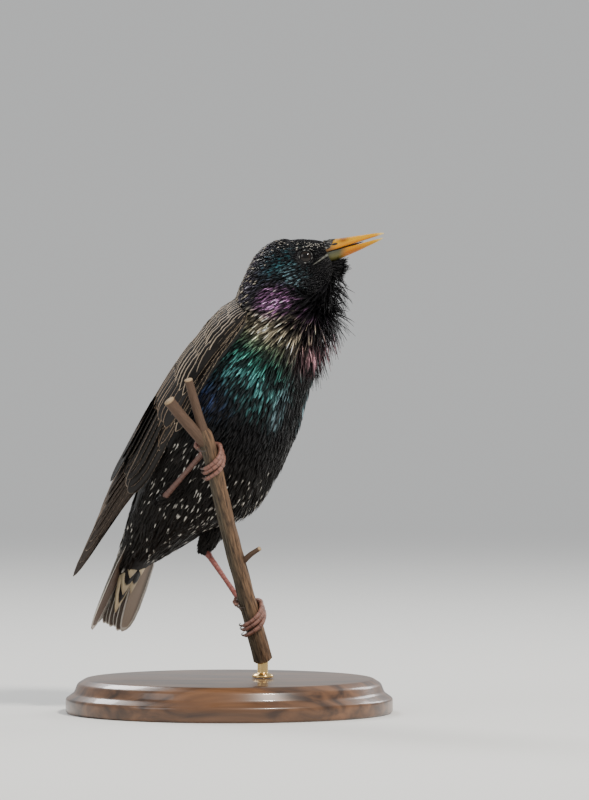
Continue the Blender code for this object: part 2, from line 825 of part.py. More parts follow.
def tail_covert(reach, across, width, depth, above):
    side, dorsal = tail_axes()
    sign = 1.0 if above else -1.0
    reach += uneven(TIP_JITTER)
    depth = (depth[0] + uneven(LIFT_JITTER), depth[1] + uneven(LIFT_JITTER))

    def place(along):
        down = spread((COVERT_ROOT, reach), along)
        across_here = across * (0.6 + 0.4 * along)
        back = spread(depth, along)
        lean = -across_here * COVERT_LEAN * sign
        tilted = side * math.cos(lean) + dorsal * math.sin(lean)
        normal = dorsal * math.cos(lean) - side * math.sin(lean)
        return tail_spot(down, across_here, back), tilted, normal

    return vane("tail_covert", place, width, "covert", ridge=0.0)


def build_tail():
    tail = loft("tail", body_rings(CUT_TAIL - 4.0, KNOTS[-1], 4.0))
    combine(tail, [half_space("before_tail", CUT_TAIL, False)], "DIFFERENCE")
    plates = [rectrix(n, hand) for n in range(RECTRICES) for hand in (1, -1)]
    for tiers, above in ((UNDERTAIL_TIERS, False), (UPPERTAIL_TIERS, True)):
        for reach, count, across, width, depth in tiers:
            for k in range(count):
                place = across * (2 * k / (count - 1) - 1) if count > 1 else 0.0
                plates.append(tail_covert(reach, place, width, depth, above))
    combine(tail, plates, "UNION", "MANIFOLD")
    rump = loft("rump", body_rings(AT["flanks"], CUT_TAIL + GAP / 2, 4.0, GAP), collection=cutters)
    combine(tail, [rump], "DIFFERENCE", "MANIFOLD")
    return finish_node(tail, plumage_material())


# Perch

BRANCH = (
    # centre line from the lower cut upwards, with the branch's radius
    (13.7, 0.9, 21.0, 3.9),
    (12.0, -2.6, 29.0, 3.8),
    (9.8, -6.3, 37.7, 3.7),
    (5.4, -13.2, 54.0, 3.5),
    (1.0, -21.0, 71.5, 3.4),
    (-3.2, -29.0, 89.5, 3.3),
    (-6.9, -36.1, 105.5, 3.2),
    (-9.6, -40.4, 115.0, 3.1),
    (-10.5, -41.9, 117.8, 1.9),
)
TWIG = (
    (-9.2, -39.6, 113.4, 2.5),
    (-11.6, -43.2, 121.5, 1.9),
    (-14.0, -46.4, 130.0, 1.8),
    (-16.2, -49.2, 138.0, 1.7),
)
SIDE_TWIG = (
    (-8.6, -38.6, 111.0, 2.6),
    (-14.4, -43.0, 117.6, 2.4),
    (-19.8, -46.4, 124.0, 2.3),
    (-24.0, -49.0, 129.5, 2.3),
)
STUB = ((4.2, -15.6, 61.0, 1.4), (8.4, -19.6, 65.4, 1.1), (12.6, -22.6, 68.4, 0.9))
BARK_ROUGHNESS = 0.035
PERCH_CUT = 1.0
PERCH_BLOCK = (60.0, 60.0, 30.0)


def branch_at(height):
    """The centre of the main branch at a height, its direction, and its radius there."""
    rows = np.array(BRANCH)
    here = [float(np.interp(height, rows[:, 2], rows[:, k])) for k in range(4)]
    above = [float(np.interp(height + 4, rows[:, 2], rows[:, k])) for k in range(3)]
    below = [float(np.interp(height - 4, rows[:, 2], rows[:, k])) for k in range(3)]
    return Vector(here[:3]), (Vector(above) - Vector(below)).normalized(), here[3]


def round_branch(height, turn, away):
    """A point beside the branch. Turn 0 is to the right, 90 is the viewer's side, 180 the left."""
    centre, way, radius = branch_at(height)
    front = Vector((0, -1, 0))
    front = (front - way * front.dot(way)).normalized()
    right = way.cross(front).normalized() * -1.0
    if right.x < 0:
        right.negate()
    a = math.radians(turn)
    return centre + (right * math.cos(a) + front * math.sin(a)) * (radius + away)


def bark_tube(name, rows, resolution=3):
    """A branch through rows of centre and radius, its bark slightly uneven all over."""
    tube = limb(name, [row[:3] for row in rows], [row[3] for row in rows], None, resolution)
    for vert in tube.data.vertices:
        spot = vert.co / MM
        middle = min(rows, key=lambda row: (Vector(row[:3]) - spot).length)
        inwards = Vector(middle[:3]) - spot
        vert.co += inwards * (random.uniform(0, BARK_ROUGHNESS) * MM)
    return tube


def densify(rows, step):
    """The same line with more rows between, for bark that changes along it."""
    made = []
    for first, second in zip(rows, rows[1:]):
        first, second = np.array(first), np.array(second)
        count = max(1, round(np.linalg.norm(second[:3] - first[:3]) / step))
        made += [tuple(first + (second - first) * k / count) for k in range(count)]
    return made + [tuple(rows[-1])]


def build_perch():
    perch = bark_tube("perch", densify(BRANCH, 10.0), 4)
    pieces = [bark_tube("twig", TWIG), bark_tube("side_twig", SIDE_TWIG)]
    pieces.append(bark_tube("stub", STUB, 2))
    combine(perch, pieces, "UNION")
    x, y, level, _ = BRANCH[0]
    middle = (x, y, level + PERCH_CUT - PERCH_BLOCK[2] / 2)
    below = block("foot_cut", middle, PERCH_BLOCK)
    combine(perch, [below], "DIFFERENCE")
    return finish_node(perch, material("bark", (0.24, 0.14, 0.075), 0.85), 50)


# Legs and feet

PALM_AWAY = 2.3
FEET = {
    # hock, height of the palm on the branch, where the thigh starts, thigh radius at each end
    "right": ((-27.3, -19.3, 87.9), 107.0, (47.0, 9.0, -9.0), (5.5, 2.4)),
    "left": ((-10.2, 7.4, 66.7), 42.0, (60.0, -10.0, -16.0), (6.5, 2.5)),
}
PALM_TURN = -110.0
FRONT_TOES = (
    # turn at the tip, rise at the palm, at the far right and at the tip, claw length
    (142.0, 1.8, 2.1, -3.7, 5.0),
    (158.0, 0.1, 0.0, -5.8, 6.0),
    (150.0, -1.5, -2.1, -8.0, 5.0),
)
HALLUX = (-200.0, 1.8, 5.0, 4.6, 4.6)
TOE_AWAY = GAP + 0.22
CLAW_AWAY = GAP + 0.75
CLAW_BOW = 1.1
TARSUS_ROWS = (
    # share of the way from the hock to the palm, and the radius there
    (0.0, HOCK_RADIUS),
    (0.08, 1.75),
    (0.2, 1.4),
    (0.55, 1.2),
    (0.82, 1.35),
    (0.9, 1.4),
)
THIGH_ROWS = (
    # share of the way from the hip to the hock, and how much of the thick end's radius is left
    (0.0, 0.8),
    (0.25, 1.0),
    (0.5, 0.86),
    (0.75, 0.55),
    (0.92, 0.25),
    (1.0, 0.0),
)
SHIN_ROOM = ((-0.5, 1.95), (3.0, 1.9), (22.0, 1.7))


def toe(height, tip_turn, at_palm, at_side, at_tip, claw):
    """A toe wound round the branch with its curved claw, as two limbs."""
    points, radii = [], []
    steps = 7
    for k in range(steps + 1):
        share = k / steps
        turn = PALM_TURN + (tip_turn - PALM_TURN) * share
        if share < 0.4:
            rise = at_palm + (at_side - at_palm) * share / 0.4
        else:
            rise = at_side + (at_tip - at_side) * (share - 0.4) / 0.6
        radius = TOE_RADIUS * (1.12 - 0.3 * share) * (1.0 + 0.07 * math.cos(math.tau * 3 * share))
        points.append(round_branch(height + rise, turn, TOE_AWAY + radius))
        radii.append(radius)
    tip_sign = 1 if tip_turn > PALM_TURN else -1
    nail, nail_radii = [points[-2], points[-1]], [TOE_RADIUS * 0.7, TOE_RADIUS * 0.72]
    centre, _, around = branch_at(height + at_tip)
    sweep = math.degrees(claw / (around + 1.6))
    for k in range(1, 4):
        share = k / 3
        bow = CLAW_AWAY + CLAW_BOW * math.sin(math.pi * share * 0.8) - 0.1 * share
        turn = tip_turn + tip_sign * sweep * share
        nail.append(round_branch(height + at_tip - 0.6 * share, turn, bow))
        nail_radii.append(TOE_RADIUS * 0.66 * (1 - share) + CLAW_TIP * share)
    return [limb("toe", points, radii), limb("claw", nail, nail_radii)]


def build_leg(name):
    hock, height, start, (thick, thin) = FEET[name]
    skin = material("leg", (0.46, 0.22, 0.17), 0.5)
    palm = round_branch(height, PALM_TURN, PALM_AWAY)
    pieces = [piece for row in FRONT_TOES for piece in toe(height, *row)]
    pieces += toe(height, *HALLUX)
    foot = ball("foot_" + name, palm, PALM_RADII, Matrix(), 10, 6)
    combine(foot, pieces, "UNION")
    hock = Vector(hock)
    way = (palm - hock).normalized()
    reach = (palm - hock).length
    points = [hock + way * reach * share for share, _ in TARSUS_ROWS]
    tarsus = limb("tarsus_" + name, points, [radius for _, radius in TARSUS_ROWS])
    room = [radius + PALM_ROOM for radius in PALM_RADII]
    inside = ball("palm_room", palm, room, Matrix(), 12, 8, cutters)
    combine(tarsus, [inside], "DIFFERENCE")
    hip = ORIGIN + DOWN * start[0] + RIGHT * start[1] + DORSAL * start[2]
    end = hock - (hock - hip).normalized() * 0.2
    points = [hip + (end - hip) * share for share, _ in THIGH_ROWS]
    radii = [spread((thin, thick), fullness) for _, fullness in THIGH_ROWS]
    thigh = limb("thigh_" + name, points, radii, None, 3)
    shin = [hock + way * far for far, _ in SHIN_ROOM]
    room = limb("shin_room", shin, [radius + GAP for _, radius in SHIN_ROOM], cutters)
    ankle = ball("ankle_room", hock, [HOCK_RADIUS + GAP] * 3, Matrix(), 12, 8, cutters)
    combine(thigh, [whole_body(GAP), room, ankle], "DIFFERENCE")
    finish_node(foot, skin)
    finish_node(tarsus, skin)
    finish_node(thigh, plumage_material())


# Stand

def turned(name, profile, centre, sides):
    """A turned solid: a profile of radius and height swept round the vertical by a Screw modifier."""
    mesh = bpy.data.meshes.new(name)
    line = [(0.0, profile[-1][1])] + list(reversed(profile)) + [(0.0, profile[0][1])]
    points = [(radius * MM, 0.0, height * MM) for radius, height in line]
    mesh.from_pydata(points, [(k, k + 1) for k in range(len(points) - 1)], [])
    obj = bpy.data.objects.new(name, mesh)
    parts.objects.link(obj)
    sweep = obj.modifiers.new("turn", "SCREW")
    sweep.steps = sides
    sweep.render_steps = sides
    sweep.use_merge_vertices = True
    sweep.merge_threshold = 0.00001
    sweep.use_normal_calculate = True
    bpy.context.view_layer.update()
    apply_modifiers(obj)
    keep_largest(obj)
    obj.data.transform(Matrix.Translation((centre[0] * MM, centre[1] * MM, 0.0)))
    return obj


def build_stand():
    wood = material("stand_wood", (0.2, 0.09, 0.04), 0.4)
    brass = material("stand_brass", (0.75, 0.55, 0.25), 0.28, 1.0)
    edge = BASE_RADIUS
    profile = (
        (edge - 0.8, 0.0),
        (edge, 0.8),
        (edge, 6.0),
        (edge - 3.4, 8.4),
        (edge - 4.8, 12.0),
        (edge - 8.0, BASE_HEIGHT),
    )
    finish_node(turned("stand_base", profile, (0.0, 0.0), 36), wood, 30)
    x, y = BRANCH[0][:2]
    low, high = BASE_HEIGHT + GAP, BRANCH[0][2] + PERCH_CUT - GAP
    rod = (
        (COLLAR_RADIUS, low),
        (COLLAR_RADIUS, low + 0.9),
        (COLLAR_RADIUS - 0.8, low + 1.5),
        (ROD_RADIUS, low + 2.0),
        (ROD_RADIUS, high),
    )
    finish_node(turned("stand_rod", rod, (x, y), 16), brass, 30)


clear_scene()
whole = whole_body()
throat = hackle_plan(surface_of(whole))
build_head(whole, throat["head"])
build_eyes()
build_neck(whole, throat)
build_torso(whole, throat)
build_bill()
build_wing("wing_right", 1)
build_wing("wing_left", -1)
build_tail()
build_perch()
build_leg("right")
build_leg("left")
build_stand()
bpy.data.objects.remove(whole)
for helper in list(cutters.objects):
    bpy.data.objects.remove(helper)
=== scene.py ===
"""The looks of a common starling in song, life size, on a cut twig and a turned stand.

Lengths are in millimetres and angles in degrees until a mesh is made, which is in metres.
"""

import math

import bpy
import numpy as np
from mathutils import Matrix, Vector


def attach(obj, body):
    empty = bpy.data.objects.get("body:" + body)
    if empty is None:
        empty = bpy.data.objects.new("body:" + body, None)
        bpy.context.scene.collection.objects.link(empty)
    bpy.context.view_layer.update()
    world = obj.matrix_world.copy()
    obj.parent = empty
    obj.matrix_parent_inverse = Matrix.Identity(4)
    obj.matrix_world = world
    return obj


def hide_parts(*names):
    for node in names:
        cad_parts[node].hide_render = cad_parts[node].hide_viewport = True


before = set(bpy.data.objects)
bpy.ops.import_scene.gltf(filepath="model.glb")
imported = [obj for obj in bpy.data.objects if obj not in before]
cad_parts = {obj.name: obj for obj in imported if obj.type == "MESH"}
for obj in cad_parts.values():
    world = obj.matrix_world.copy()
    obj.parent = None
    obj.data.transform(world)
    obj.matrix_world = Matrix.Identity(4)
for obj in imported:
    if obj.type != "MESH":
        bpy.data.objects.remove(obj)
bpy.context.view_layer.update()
MM = 0.001
rng = np.random.default_rng(11)

# Materials


class Look:
    """A material whose nodes are made and linked by short calls."""

    def __init__(self, name):
        self.made = bpy.data.materials.new(name)
        self.made.use_nodes = True
        self.tree = self.made.node_tree

    def plug(self, node, inputs):
        """Sets a node's inputs to values, or links them to other nodes' outputs."""
        for key, value in inputs.items():
            if isinstance(value, bpy.types.NodeSocket):
                self.tree.links.new(value, node.inputs[key])
            else:
                node.inputs[key].default_value = value

    def node(self, kind, inputs, output=0, **settings):
        node = self.tree.nodes.new("ShaderNode" + kind)
        for key, value in settings.items():
            setattr(node, key, value)
        self.plug(node, inputs)
        return node.outputs[output]

    def value(self, attribute, output="Fac"):
        return self.node("Attribute", {}, output, attribute_name=attribute)

    def maths(self, operation, *terms):
        return self.node("Math", dict(enumerate(terms)), operation=operation)

    def scaled(self, colour, by):
        return self.node("VectorMath", {0: colour, "Scale": by}, operation="SCALE")

    def mix(self, first, second, share, **settings):
        inputs = {0: share, 6: first, 7: second}
        return self.node("Mix", inputs, 2, data_type="RGBA", **settings)

    def ramp(self, source, *stops):
        """A colour ramp between two stops, each a position and a colour."""
        node = self.tree.nodes.new("ShaderNodeValToRGB")
        for element, (position, colour) in zip(node.color_ramp.elements, stops):
            element.position = position
            element.color = colour
        self.tree.links.new(source, node.inputs[0])
        return node.outputs[0]

    def relief(self, height, strength, distance):
        return self.node("Bump", {"Height": height, "Strength": strength, "Distance": distance})

    def finish(self, inputs):
        self.plug(self.tree.nodes["Principled BSDF"], inputs)
        return self.made


def plain_material(name, colour, rough, metallic=0.0):
    inputs = {"Base Color": (*colour, 1), "Roughness": rough, "Metallic": metallic}
    return Look(name).finish(inputs)


# Camera, floor and lights

PIXEL = 0.40816
PICTURE_HEIGHT = 800
SENSOR = 36.0
CAMERA_DISTANCE = 4000.0
CAMERA_RISE = math.radians(2.0)
CAMERA_AIM = (26.7, -8.0, 128.3)
CAMERA_REACH = 100.0
FLOOR_RADIUS = 30
FLOOR_FADES = {"From Min": 0.25, "From Max": 1.6, "To Min": 1.0, "To Max": 0.0}
FLOOR_COLOUR = (0.78, 0.78, 0.76, 1)
SKY_COLOUR = (0.87, 0.88, 0.88, 1)
SKY_STRENGTH = 0.62
LAMP_AIM = (0.0, 0.0, 0.11)
LAMPS = (
    # name, place in metres, size, power, colour
    ("key", (0.85, -1.15, 1.5), 0.28, 44.0, (1.0, 0.96, 0.9)),
    ("fill", (-1.6, -1.0, 0.9), 1.2, 9.0, (0.92, 0.96, 1.0)),
    ("rim", (-0.7, 1.3, 1.3), 0.6, 16.0, (1, 1, 1)),
    ("back", (1.2, 1.4, 0.9), 0.8, 14.0, (1, 1, 1)),
)


def new_object(name, data):
    obj = bpy.data.objects.new(name, data)
    bpy.context.scene.collection.objects.link(obj)
    return obj


def build_camera():
    lens = bpy.data.cameras.new("camera")
    lens.sensor_width = SENSOR
    lens.lens = SENSOR * CAMERA_DISTANCE / (PICTURE_HEIGHT * PIXEL)
    lens.clip_end = CAMERA_REACH
    camera = new_object("camera", lens)
    back = Vector((0, -math.cos(CAMERA_RISE), math.sin(CAMERA_RISE)))
    camera.location = (Vector(CAMERA_AIM) + back * CAMERA_DISTANCE) * MM
    camera.rotation_euler = (-back).to_track_quat("-Z", "Y").to_euler()
    bpy.context.scene.camera = camera


def build_floor():
    """A wide pale floor that fades out far from the model."""
    bpy.ops.mesh.primitive_circle_add(vertices=96, radius=FLOOR_RADIUS, fill_type="NGON", location=(0, 0, 0))
    floor = bpy.context.object
    floor.name = "floor"
    look = Look("floor")
    place = look.node("TexCoord", {}, "Object")
    far = look.node("VectorMath", {0: place}, "Value", operation="LENGTH")
    fade = look.node("MapRange", {"Value": far, **FLOOR_FADES}, interpolation_type="SMOOTHSTEP")
    made = look.finish({"Base Color": FLOOR_COLOUR, "Roughness": 0.85, "Alpha": fade})
    floor.data.materials.append(made)


def build_lights():
    world = bpy.data.worlds.new("studio")
    world.use_nodes = True
    sky = world.node_tree.nodes["Background"]
    sky.inputs[0].default_value = SKY_COLOUR
    sky.inputs[1].default_value = SKY_STRENGTH
    bpy.context.scene.world = world
    for name, place, size, power, colour in LAMPS:
        lamp = bpy.data.lights.new(name, "AREA")
        lamp.shape = "DISK"
        lamp.size = size
        lamp.energy = power
        lamp.color = colour
        obj = new_object(name, lamp)
        obj.location = place
        way = Vector(LAMP_AIM) - Vector(place)
        obj.rotation_euler = way.to_track_quat("-Z", "Y").to_euler()


# Sums

TINY = 1e-9


def unit(v):
    return v / np.maximum(np.linalg.norm(v, axis=-1, keepdims=True), TINY)


def blend(a, b, share):
    return a + (b - a) * share


def smoothstep(low, high, value):
    t = np.clip((np.asarray(value, float) - low) / (high - low), 0, 1)
    return t * t * (3 - 2 * t)


def bump(centre, width, value):
    return np.exp(-(((np.asarray(value, float) - centre) / width) ** 2))


def graph(pairs, at):
    """The height, at these places, of the line through pairs of place and height."""
    return np.interp(at, *np.transpose(pairs))


def distances(points):
    """How far along a line each of its points is."""
    return np.concatenate([[0], np.cumsum(np.linalg.norm(np.diff(points, axis=0), axis=1))])


def full_turn(sides):
    return np.linspace(0, math.tau, sides, endpoint=False)


def circle(first, second, turn):
    """Points of a circle or an ellipse that starts at first and turns to second."""
    turn = np.asarray(turn)[..., None]
    return first * np.cos(turn) + second * np.sin(turn)


def with_alpha(colour, alpha=1.0):
    colour = np.asarray(colour, float)
    return np.concatenate([colour, np.full(colour.shape[:-1] + (1,), alpha)], axis=-1)


def through(knots, table, u):
    """Every column of a table at u, on a cubic through its rows."""
    u = np.clip(np.atleast_1d(np.asarray(u, float)), knots[0], knots[-1])
    i = np.clip(np.searchsorted(knots, u) - 1, 0, len(knots) - 2)
    width = (knots[i + 1] - knots[i])[:, None]
    t = (u - knots[i])[:, None] / width

    def slope(k):
        low, high = np.maximum(k - 1, 0), np.minimum(k + 1, len(knots) - 1)
        return (table[high] - table[low]) / (knots[high] - knots[low])[:, None] * width

    t2, t3 = t * t, t**3
    value = (2 * t3 - 3 * t2 + 1) * table[i] + (3 * t2 - 2 * t3) * table[i + 1]
    return value + (t3 - 2 * t2 + t) * slope(i) + (t3 - t2) * slope(i + 1)


# Meshes from arrays

POINT_KINDS = {1: ("FLOAT", "value"), 3: ("FLOAT_VECTOR", "vector"), 4: ("FLOAT_COLOR", "color")}
SEAM = unit(np.array((0.2, -0.97, 0.12)))
DOME = np.sin(np.radians((20, 40, 60, 76, 87)))


def turned_out(verts, faces):
    """The same closed faces, turned round if they face inwards."""
    volume = 0.0
    for group in faces:
        corners = verts[group]
        for k in range(1, corners.shape[1] - 1):
            volume += (corners[:, 0] * np.cross(corners[:, k], corners[:, k + 1])).sum()
    return faces if volume > 0 else [group[:, ::-1] for group in faces]


def make_mesh(name, verts, faces):
    """A smooth object from points in millimetres and a list of arrays of faces, each of one size."""
    mesh = bpy.data.meshes.new(name)
    verts = np.asarray(verts, float).reshape(-1, 3) * MM
    faces = turned_out(verts, faces)
    loops = np.concatenate([group.ravel() for group in faces])
    sizes = np.concatenate([np.full(len(group), group.shape[1]) for group in faces])
    starts = np.concatenate([[0], np.cumsum(sizes)[:-1]])
    mesh.vertices.add(len(verts))
    mesh.vertices.foreach_set("co", verts.ravel())
    mesh.loops.add(len(loops))
    mesh.loops.foreach_set("vertex_index", loops.astype(np.int32))
    mesh.polygons.add(len(sizes))
    mesh.polygons.foreach_set("loop_start", starts.astype(np.int32))
    mesh.polygons.foreach_set("use_smooth", np.ones(len(sizes), bool))
    mesh.update(calc_edges=True)
    mesh.validate()
    return new_object(name, mesh)


def ring_faces(rows, ring):
    """Faces of a closed loft through rings of equal size: its sides and its two ends."""
    k = np.arange(rows - 1)[:, None] * ring
    m = np.arange(ring)[None]
    after = (m + 1) % ring
    sides = np.stack([k + m, k + after, k + ring + after, k + ring + m], axis=-1)
    return [sides.reshape(-1, 4), m[:, ::-1], m + (rows - 1) * ring]


def loft(name, rings):
    return make_mesh(name, rings, ring_faces(*rings.shape[:2]))


def with_domes(points, radii):
    """The same line and radii with round ends added."""
    first, last = unit(points[0] - points[1]), unit(points[-1] - points[-2])
    shrink = np.sqrt(1 - DOME**2)
    start = points[0] + first * (radii[0] * DOME)[::-1, None]
    end = points[-1] + last * (radii[-1] * DOME)[:, None]
    sizes = np.concatenate([radii[0] * shrink[::-1], radii, radii[-1] * shrink])
    return np.concatenate([start, points, end]), sizes


def tube(name, points, radii, sides=24, relief=None, rounded=False, seam=SEAM):
    """A closed tube, and how far along it each of its rings is.

    Its radius is changed by relief(distance along, turn) where one is given.
    """
    points, radii = np.asarray(points, float), np.asarray(radii, float)
    if rounded:
        points, radii = with_domes(points, radii)
    way = unit(np.gradient(points, axis=0))
    first = unit(np.cross(way, seam))
    second = np.cross(way, first)
    turn, far = full_turn(sides), distances(points)
    size = radii[:, None] * (relief(far[:, None], turn[None]) if relief else 1.0)
    ring = circle(first[:, None], second[:, None], turn)
    return loft(name, points[:, None] + ring * size[..., None]), far


def ball(name, centre, radius, pole, rows=28, sides=48):
    """A ball, and each point's angle from its pole."""
    first = unit(np.cross(pole, (0.1, 0.2, 0.97)))
    around = circle(first, np.cross(pole, first), full_turn(sides))
    polar = np.linspace(0.02, math.pi - 0.02, rows)[:, None, None]
    rings = centre + radius * (pole * np.cos(polar) + around * np.sin(polar))
    return loft(name, rings), np.broadcast_to(polar[..., 0], rings.shape[:2]).ravel()


def points_of(obj):
    co = np.empty(len(obj.data.vertices) * 3)
    obj.data.vertices.foreach_get("co", co)
    return co.reshape(-1, 3) / MM


def point_values(obj, name, values):
    """Gives each point of a mesh a number, a vector or a colour."""
    values = np.asarray(values, dtype=np.float32).reshape(len(obj.data.vertices), -1)
    kind, field = POINT_KINDS[values.shape[1]]
    layer = obj.data.attributes.new(name, kind, "POINT")
    layer.data.foreach_set(field, values.ravel())


def paint_points(obj, tint):
    """Colours a mesh, from one colour for each of its points or for each run of them."""
    tint = np.asarray(tint, float).reshape(-1, 3)
    tint = np.repeat(tint, len(obj.data.vertices) // len(tint), axis=0)
    point_values(obj, "tint", with_alpha(tint))


def uv_map(obj, name, values):
    """A UV map that gives each corner its point's place."""
    layer = obj.data.uv_layers.new(name=name)
    corners = np.empty(len(obj.data.loops), dtype=np.int32)
    obj.data.loops.foreach_get("vertex_index", corners)
    layer.data.foreach_set("uv", np.asarray(values, dtype=np.float32)[corners].ravel())


def fit(obj, material, slot, *nodes):
    """Gives a piece its material, hangs it on the root and hides the solids that it replaces."""
    obj.data.materials.append(material)
    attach(obj, "root")
    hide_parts(*nodes)


# The body's surface, as in the solids

STATIONS = {
    # x, y, z, half width, height to the back, depth to the belly, turn away from the camera
    "bill_base": (40.8, -19.1, 189.0, 5.4, 4.4, 9.2, 10),
    "lores": (36.4, -18.3, 187.2, 8.6, 7.6, 15.6, 10),
    "eyes": (31.2, -17.4, 184.6, 10.9, 10.9, 20.2, 11),
    "crown": (24.6, -16.2, 180.4, 13.2, 15.0, 23.0, 14),
    "nape": (19.4, -15.0, 172.6, 14.6, 14.9, 24.0, 19),
    "neck": (16.4, -13.6, 161.6, 18.0, 15.8, 23.6, 25),
    "shoulders": (12.5, -11.4, 147.6, 23.0, 20.0, 24.4, 29),
    "breast": (4.5, -6.8, 132.0, 26.2, 21.6, 28.8, 30),
    "belly": (-4.9, -1.4, 116.1, 26.8, 21.8, 31.6, 30),
    "flanks": (-13.7, 3.7, 100.9, 25.0, 20.0, 30.6, 30),
    "vent": (-23.9, 9.4, 84.2, 19.4, 15.6, 18.8, 30),
    "rump": (-33.4, 14.2, 69.8, 13.0, 10.6, 10.4, 30),
    "tail_root": (-40.4, 17.9, 59.0, 9.6, 5.4, 5.4, 30),
}
TABLE = np.array(list(STATIONS.values()), dtype=float)
KNOTS = distances(TABLE[:, :3])
AT = dict(zip(STATIONS, KNOTS))
ROUNDNESS = 2.15
LENGTH_STEP, ANGLE_STEP = 0.4, 2.0
HEAD_BACK = np.array((-0.944, 0.166, -0.284))
DOWN = unit(np.array((-0.479, 0.277, -0.833)))
RIGHT = unit(np.array((-0.5, -0.866, 0.0)))
DORSAL = unit(np.cross(RIGHT, -DOWN))
ORIGIN = np.array((13.5, -12.0, 149.5))


def section(u):
    """The table's row at u, and the ways forward, right and to the back there."""
    row = through(KNOTS, TABLE, u)
    ahead = through(KNOTS, TABLE, np.maximum(u - 0.5, 0))[:, :3]
    behind = through(KNOTS, TABLE, np.minimum(u + 0.5, KNOTS[-1]))[:, :3]
    forward = unit(ahead - behind)
    turn = np.radians(row[:, 6])
    right = np.stack([-np.sin(turn), -np.cos(turn), 0 * turn], axis=1)
    dorsal = unit(np.cross(right, forward))
    return row, forward, np.cross(forward, dorsal), dorsal


def rounded_power(value):
    return np.sign(value) * np.abs(value) ** (2 / ROUNDNESS)


def body(u, angle, lift=0.0):
    """Points of the body's surface. Angle 0 is the back, 90 the right side and 180 the belly."""
    u = np.atleast_1d(np.asarray(u, float))
    angle = np.radians(np.broadcast_to(np.asarray(angle, float), u.shape))
    row, _, right, dorsal = section(u)
    across, height = rounded_power(np.sin(angle)), rounded_power(np.cos(angle))
    across = across * (row[:, 3] + lift)
    height = height * (np.where(height > 0, row[:, 4], row[:, 5]) + lift)
    return row[:, :3] + right * across[:, None] + dorsal * height[:, None]


def body_slopes(u, angle):
    """How the surface moves for each millimetre along the body and each degree round it."""
    after, before = np.minimum(u + LENGTH_STEP, KNOTS[-1]), np.maximum(u - LENGTH_STEP, 0)
    along = (body(after, angle) - body(before, angle)) / (2 * LENGTH_STEP)
    around = (body(u, angle + ANGLE_STEP) - body(u, angle - ANGLE_STEP)) / (2 * ANGLE_STEP)
    return along, around


def body_normal(u, angle):
    along, around = body_slopes(u, angle)
    normal = unit(np.cross(around, along))
    outward = body(u, angle) - through(KNOTS, TABLE, u)[:, :3]
    return normal * np.sign((normal * outward).sum(axis=1))[:, None]


def body_place(down, right, dorsal):
    """The point at these distances from the body's origin, along its own ways."""
    down, right, dorsal = (np.asarray(far, float)[..., None] for far in (down, right, dorsal))
    return ORIGIN + DOWN * down + RIGHT * right + DORSAL * dorsal


def in_body(points):
    """Down, right and dorsal parts of points in the body's frame."""
    rel = points - ORIGIN
    return rel @ DOWN, rel @ RIGHT, rel @ DORSAL


def from_back(angle):
    """Angle from the back, 0 to 180, alike on both sides."""
    angle = np.mod(angle, 360)
    return np.where(angle > 180, 360 - angle, angle)


# Feathers

OUTLINES = {
    # how wide a feather is along its length: pairs of shares
    "contour": ((0, 0.5), (0.35, 0.95), (0.65, 1.0), (0.87, 0.7), (1, 0.1)),
    "pointed": ((0, 0.5), (0.3, 1.0), (0.6, 0.8), (0.76, 0.58), (0.84, 0.44), (1, 0.05)),
    "lance": ((0, 0.5), (0.2, 0.85), (0.45, 1.0), (0.65, 0.9), (0.8, 0.66), (0.92, 0.32), (1, 0.04)),
    "lancet": ((0, 0.45), (0.35, 0.8), (0.62, 1.0), (0.84, 0.62), (1, 0.05)),
    "vane": (
        (0, 0.45), (0.1, 0.8), (0.3, 1.0), (0.55, 1.0), (0.75, 0.92),
        (0.87, 0.78), (0.94, 0.6), (0.98, 0.36), (1, 0.08),
    ),
    "blunt": (
        (0, 0.5), (0.15, 0.85), (0.4, 1.0), (0.7, 1.0),
        (0.85, 0.9), (0.93, 0.72), (0.98, 0.42), (1, 0.1),
    ),
}
# A feather's cross-section: shares across it, and which of its points lie underneath
SLIM_RING = ((-1, 0, 1, 0), (0, 0, 0, 1))
WIDE_RING = ((-1, -0.5, 0, 0.5, 1, 0.5, 0, -0.5), (0, 0, 0, 0, 0, 1, 1, 1))
SLIM_VALUES = ("along", "across", "seed", "tint")
WIDE_VALUES = ("along", "across", "seed", "rim", "fringe", "tint", "trim")
PATCH = (0.003, 0.003)
TRIM_SHADES = (0.75, 1.2)


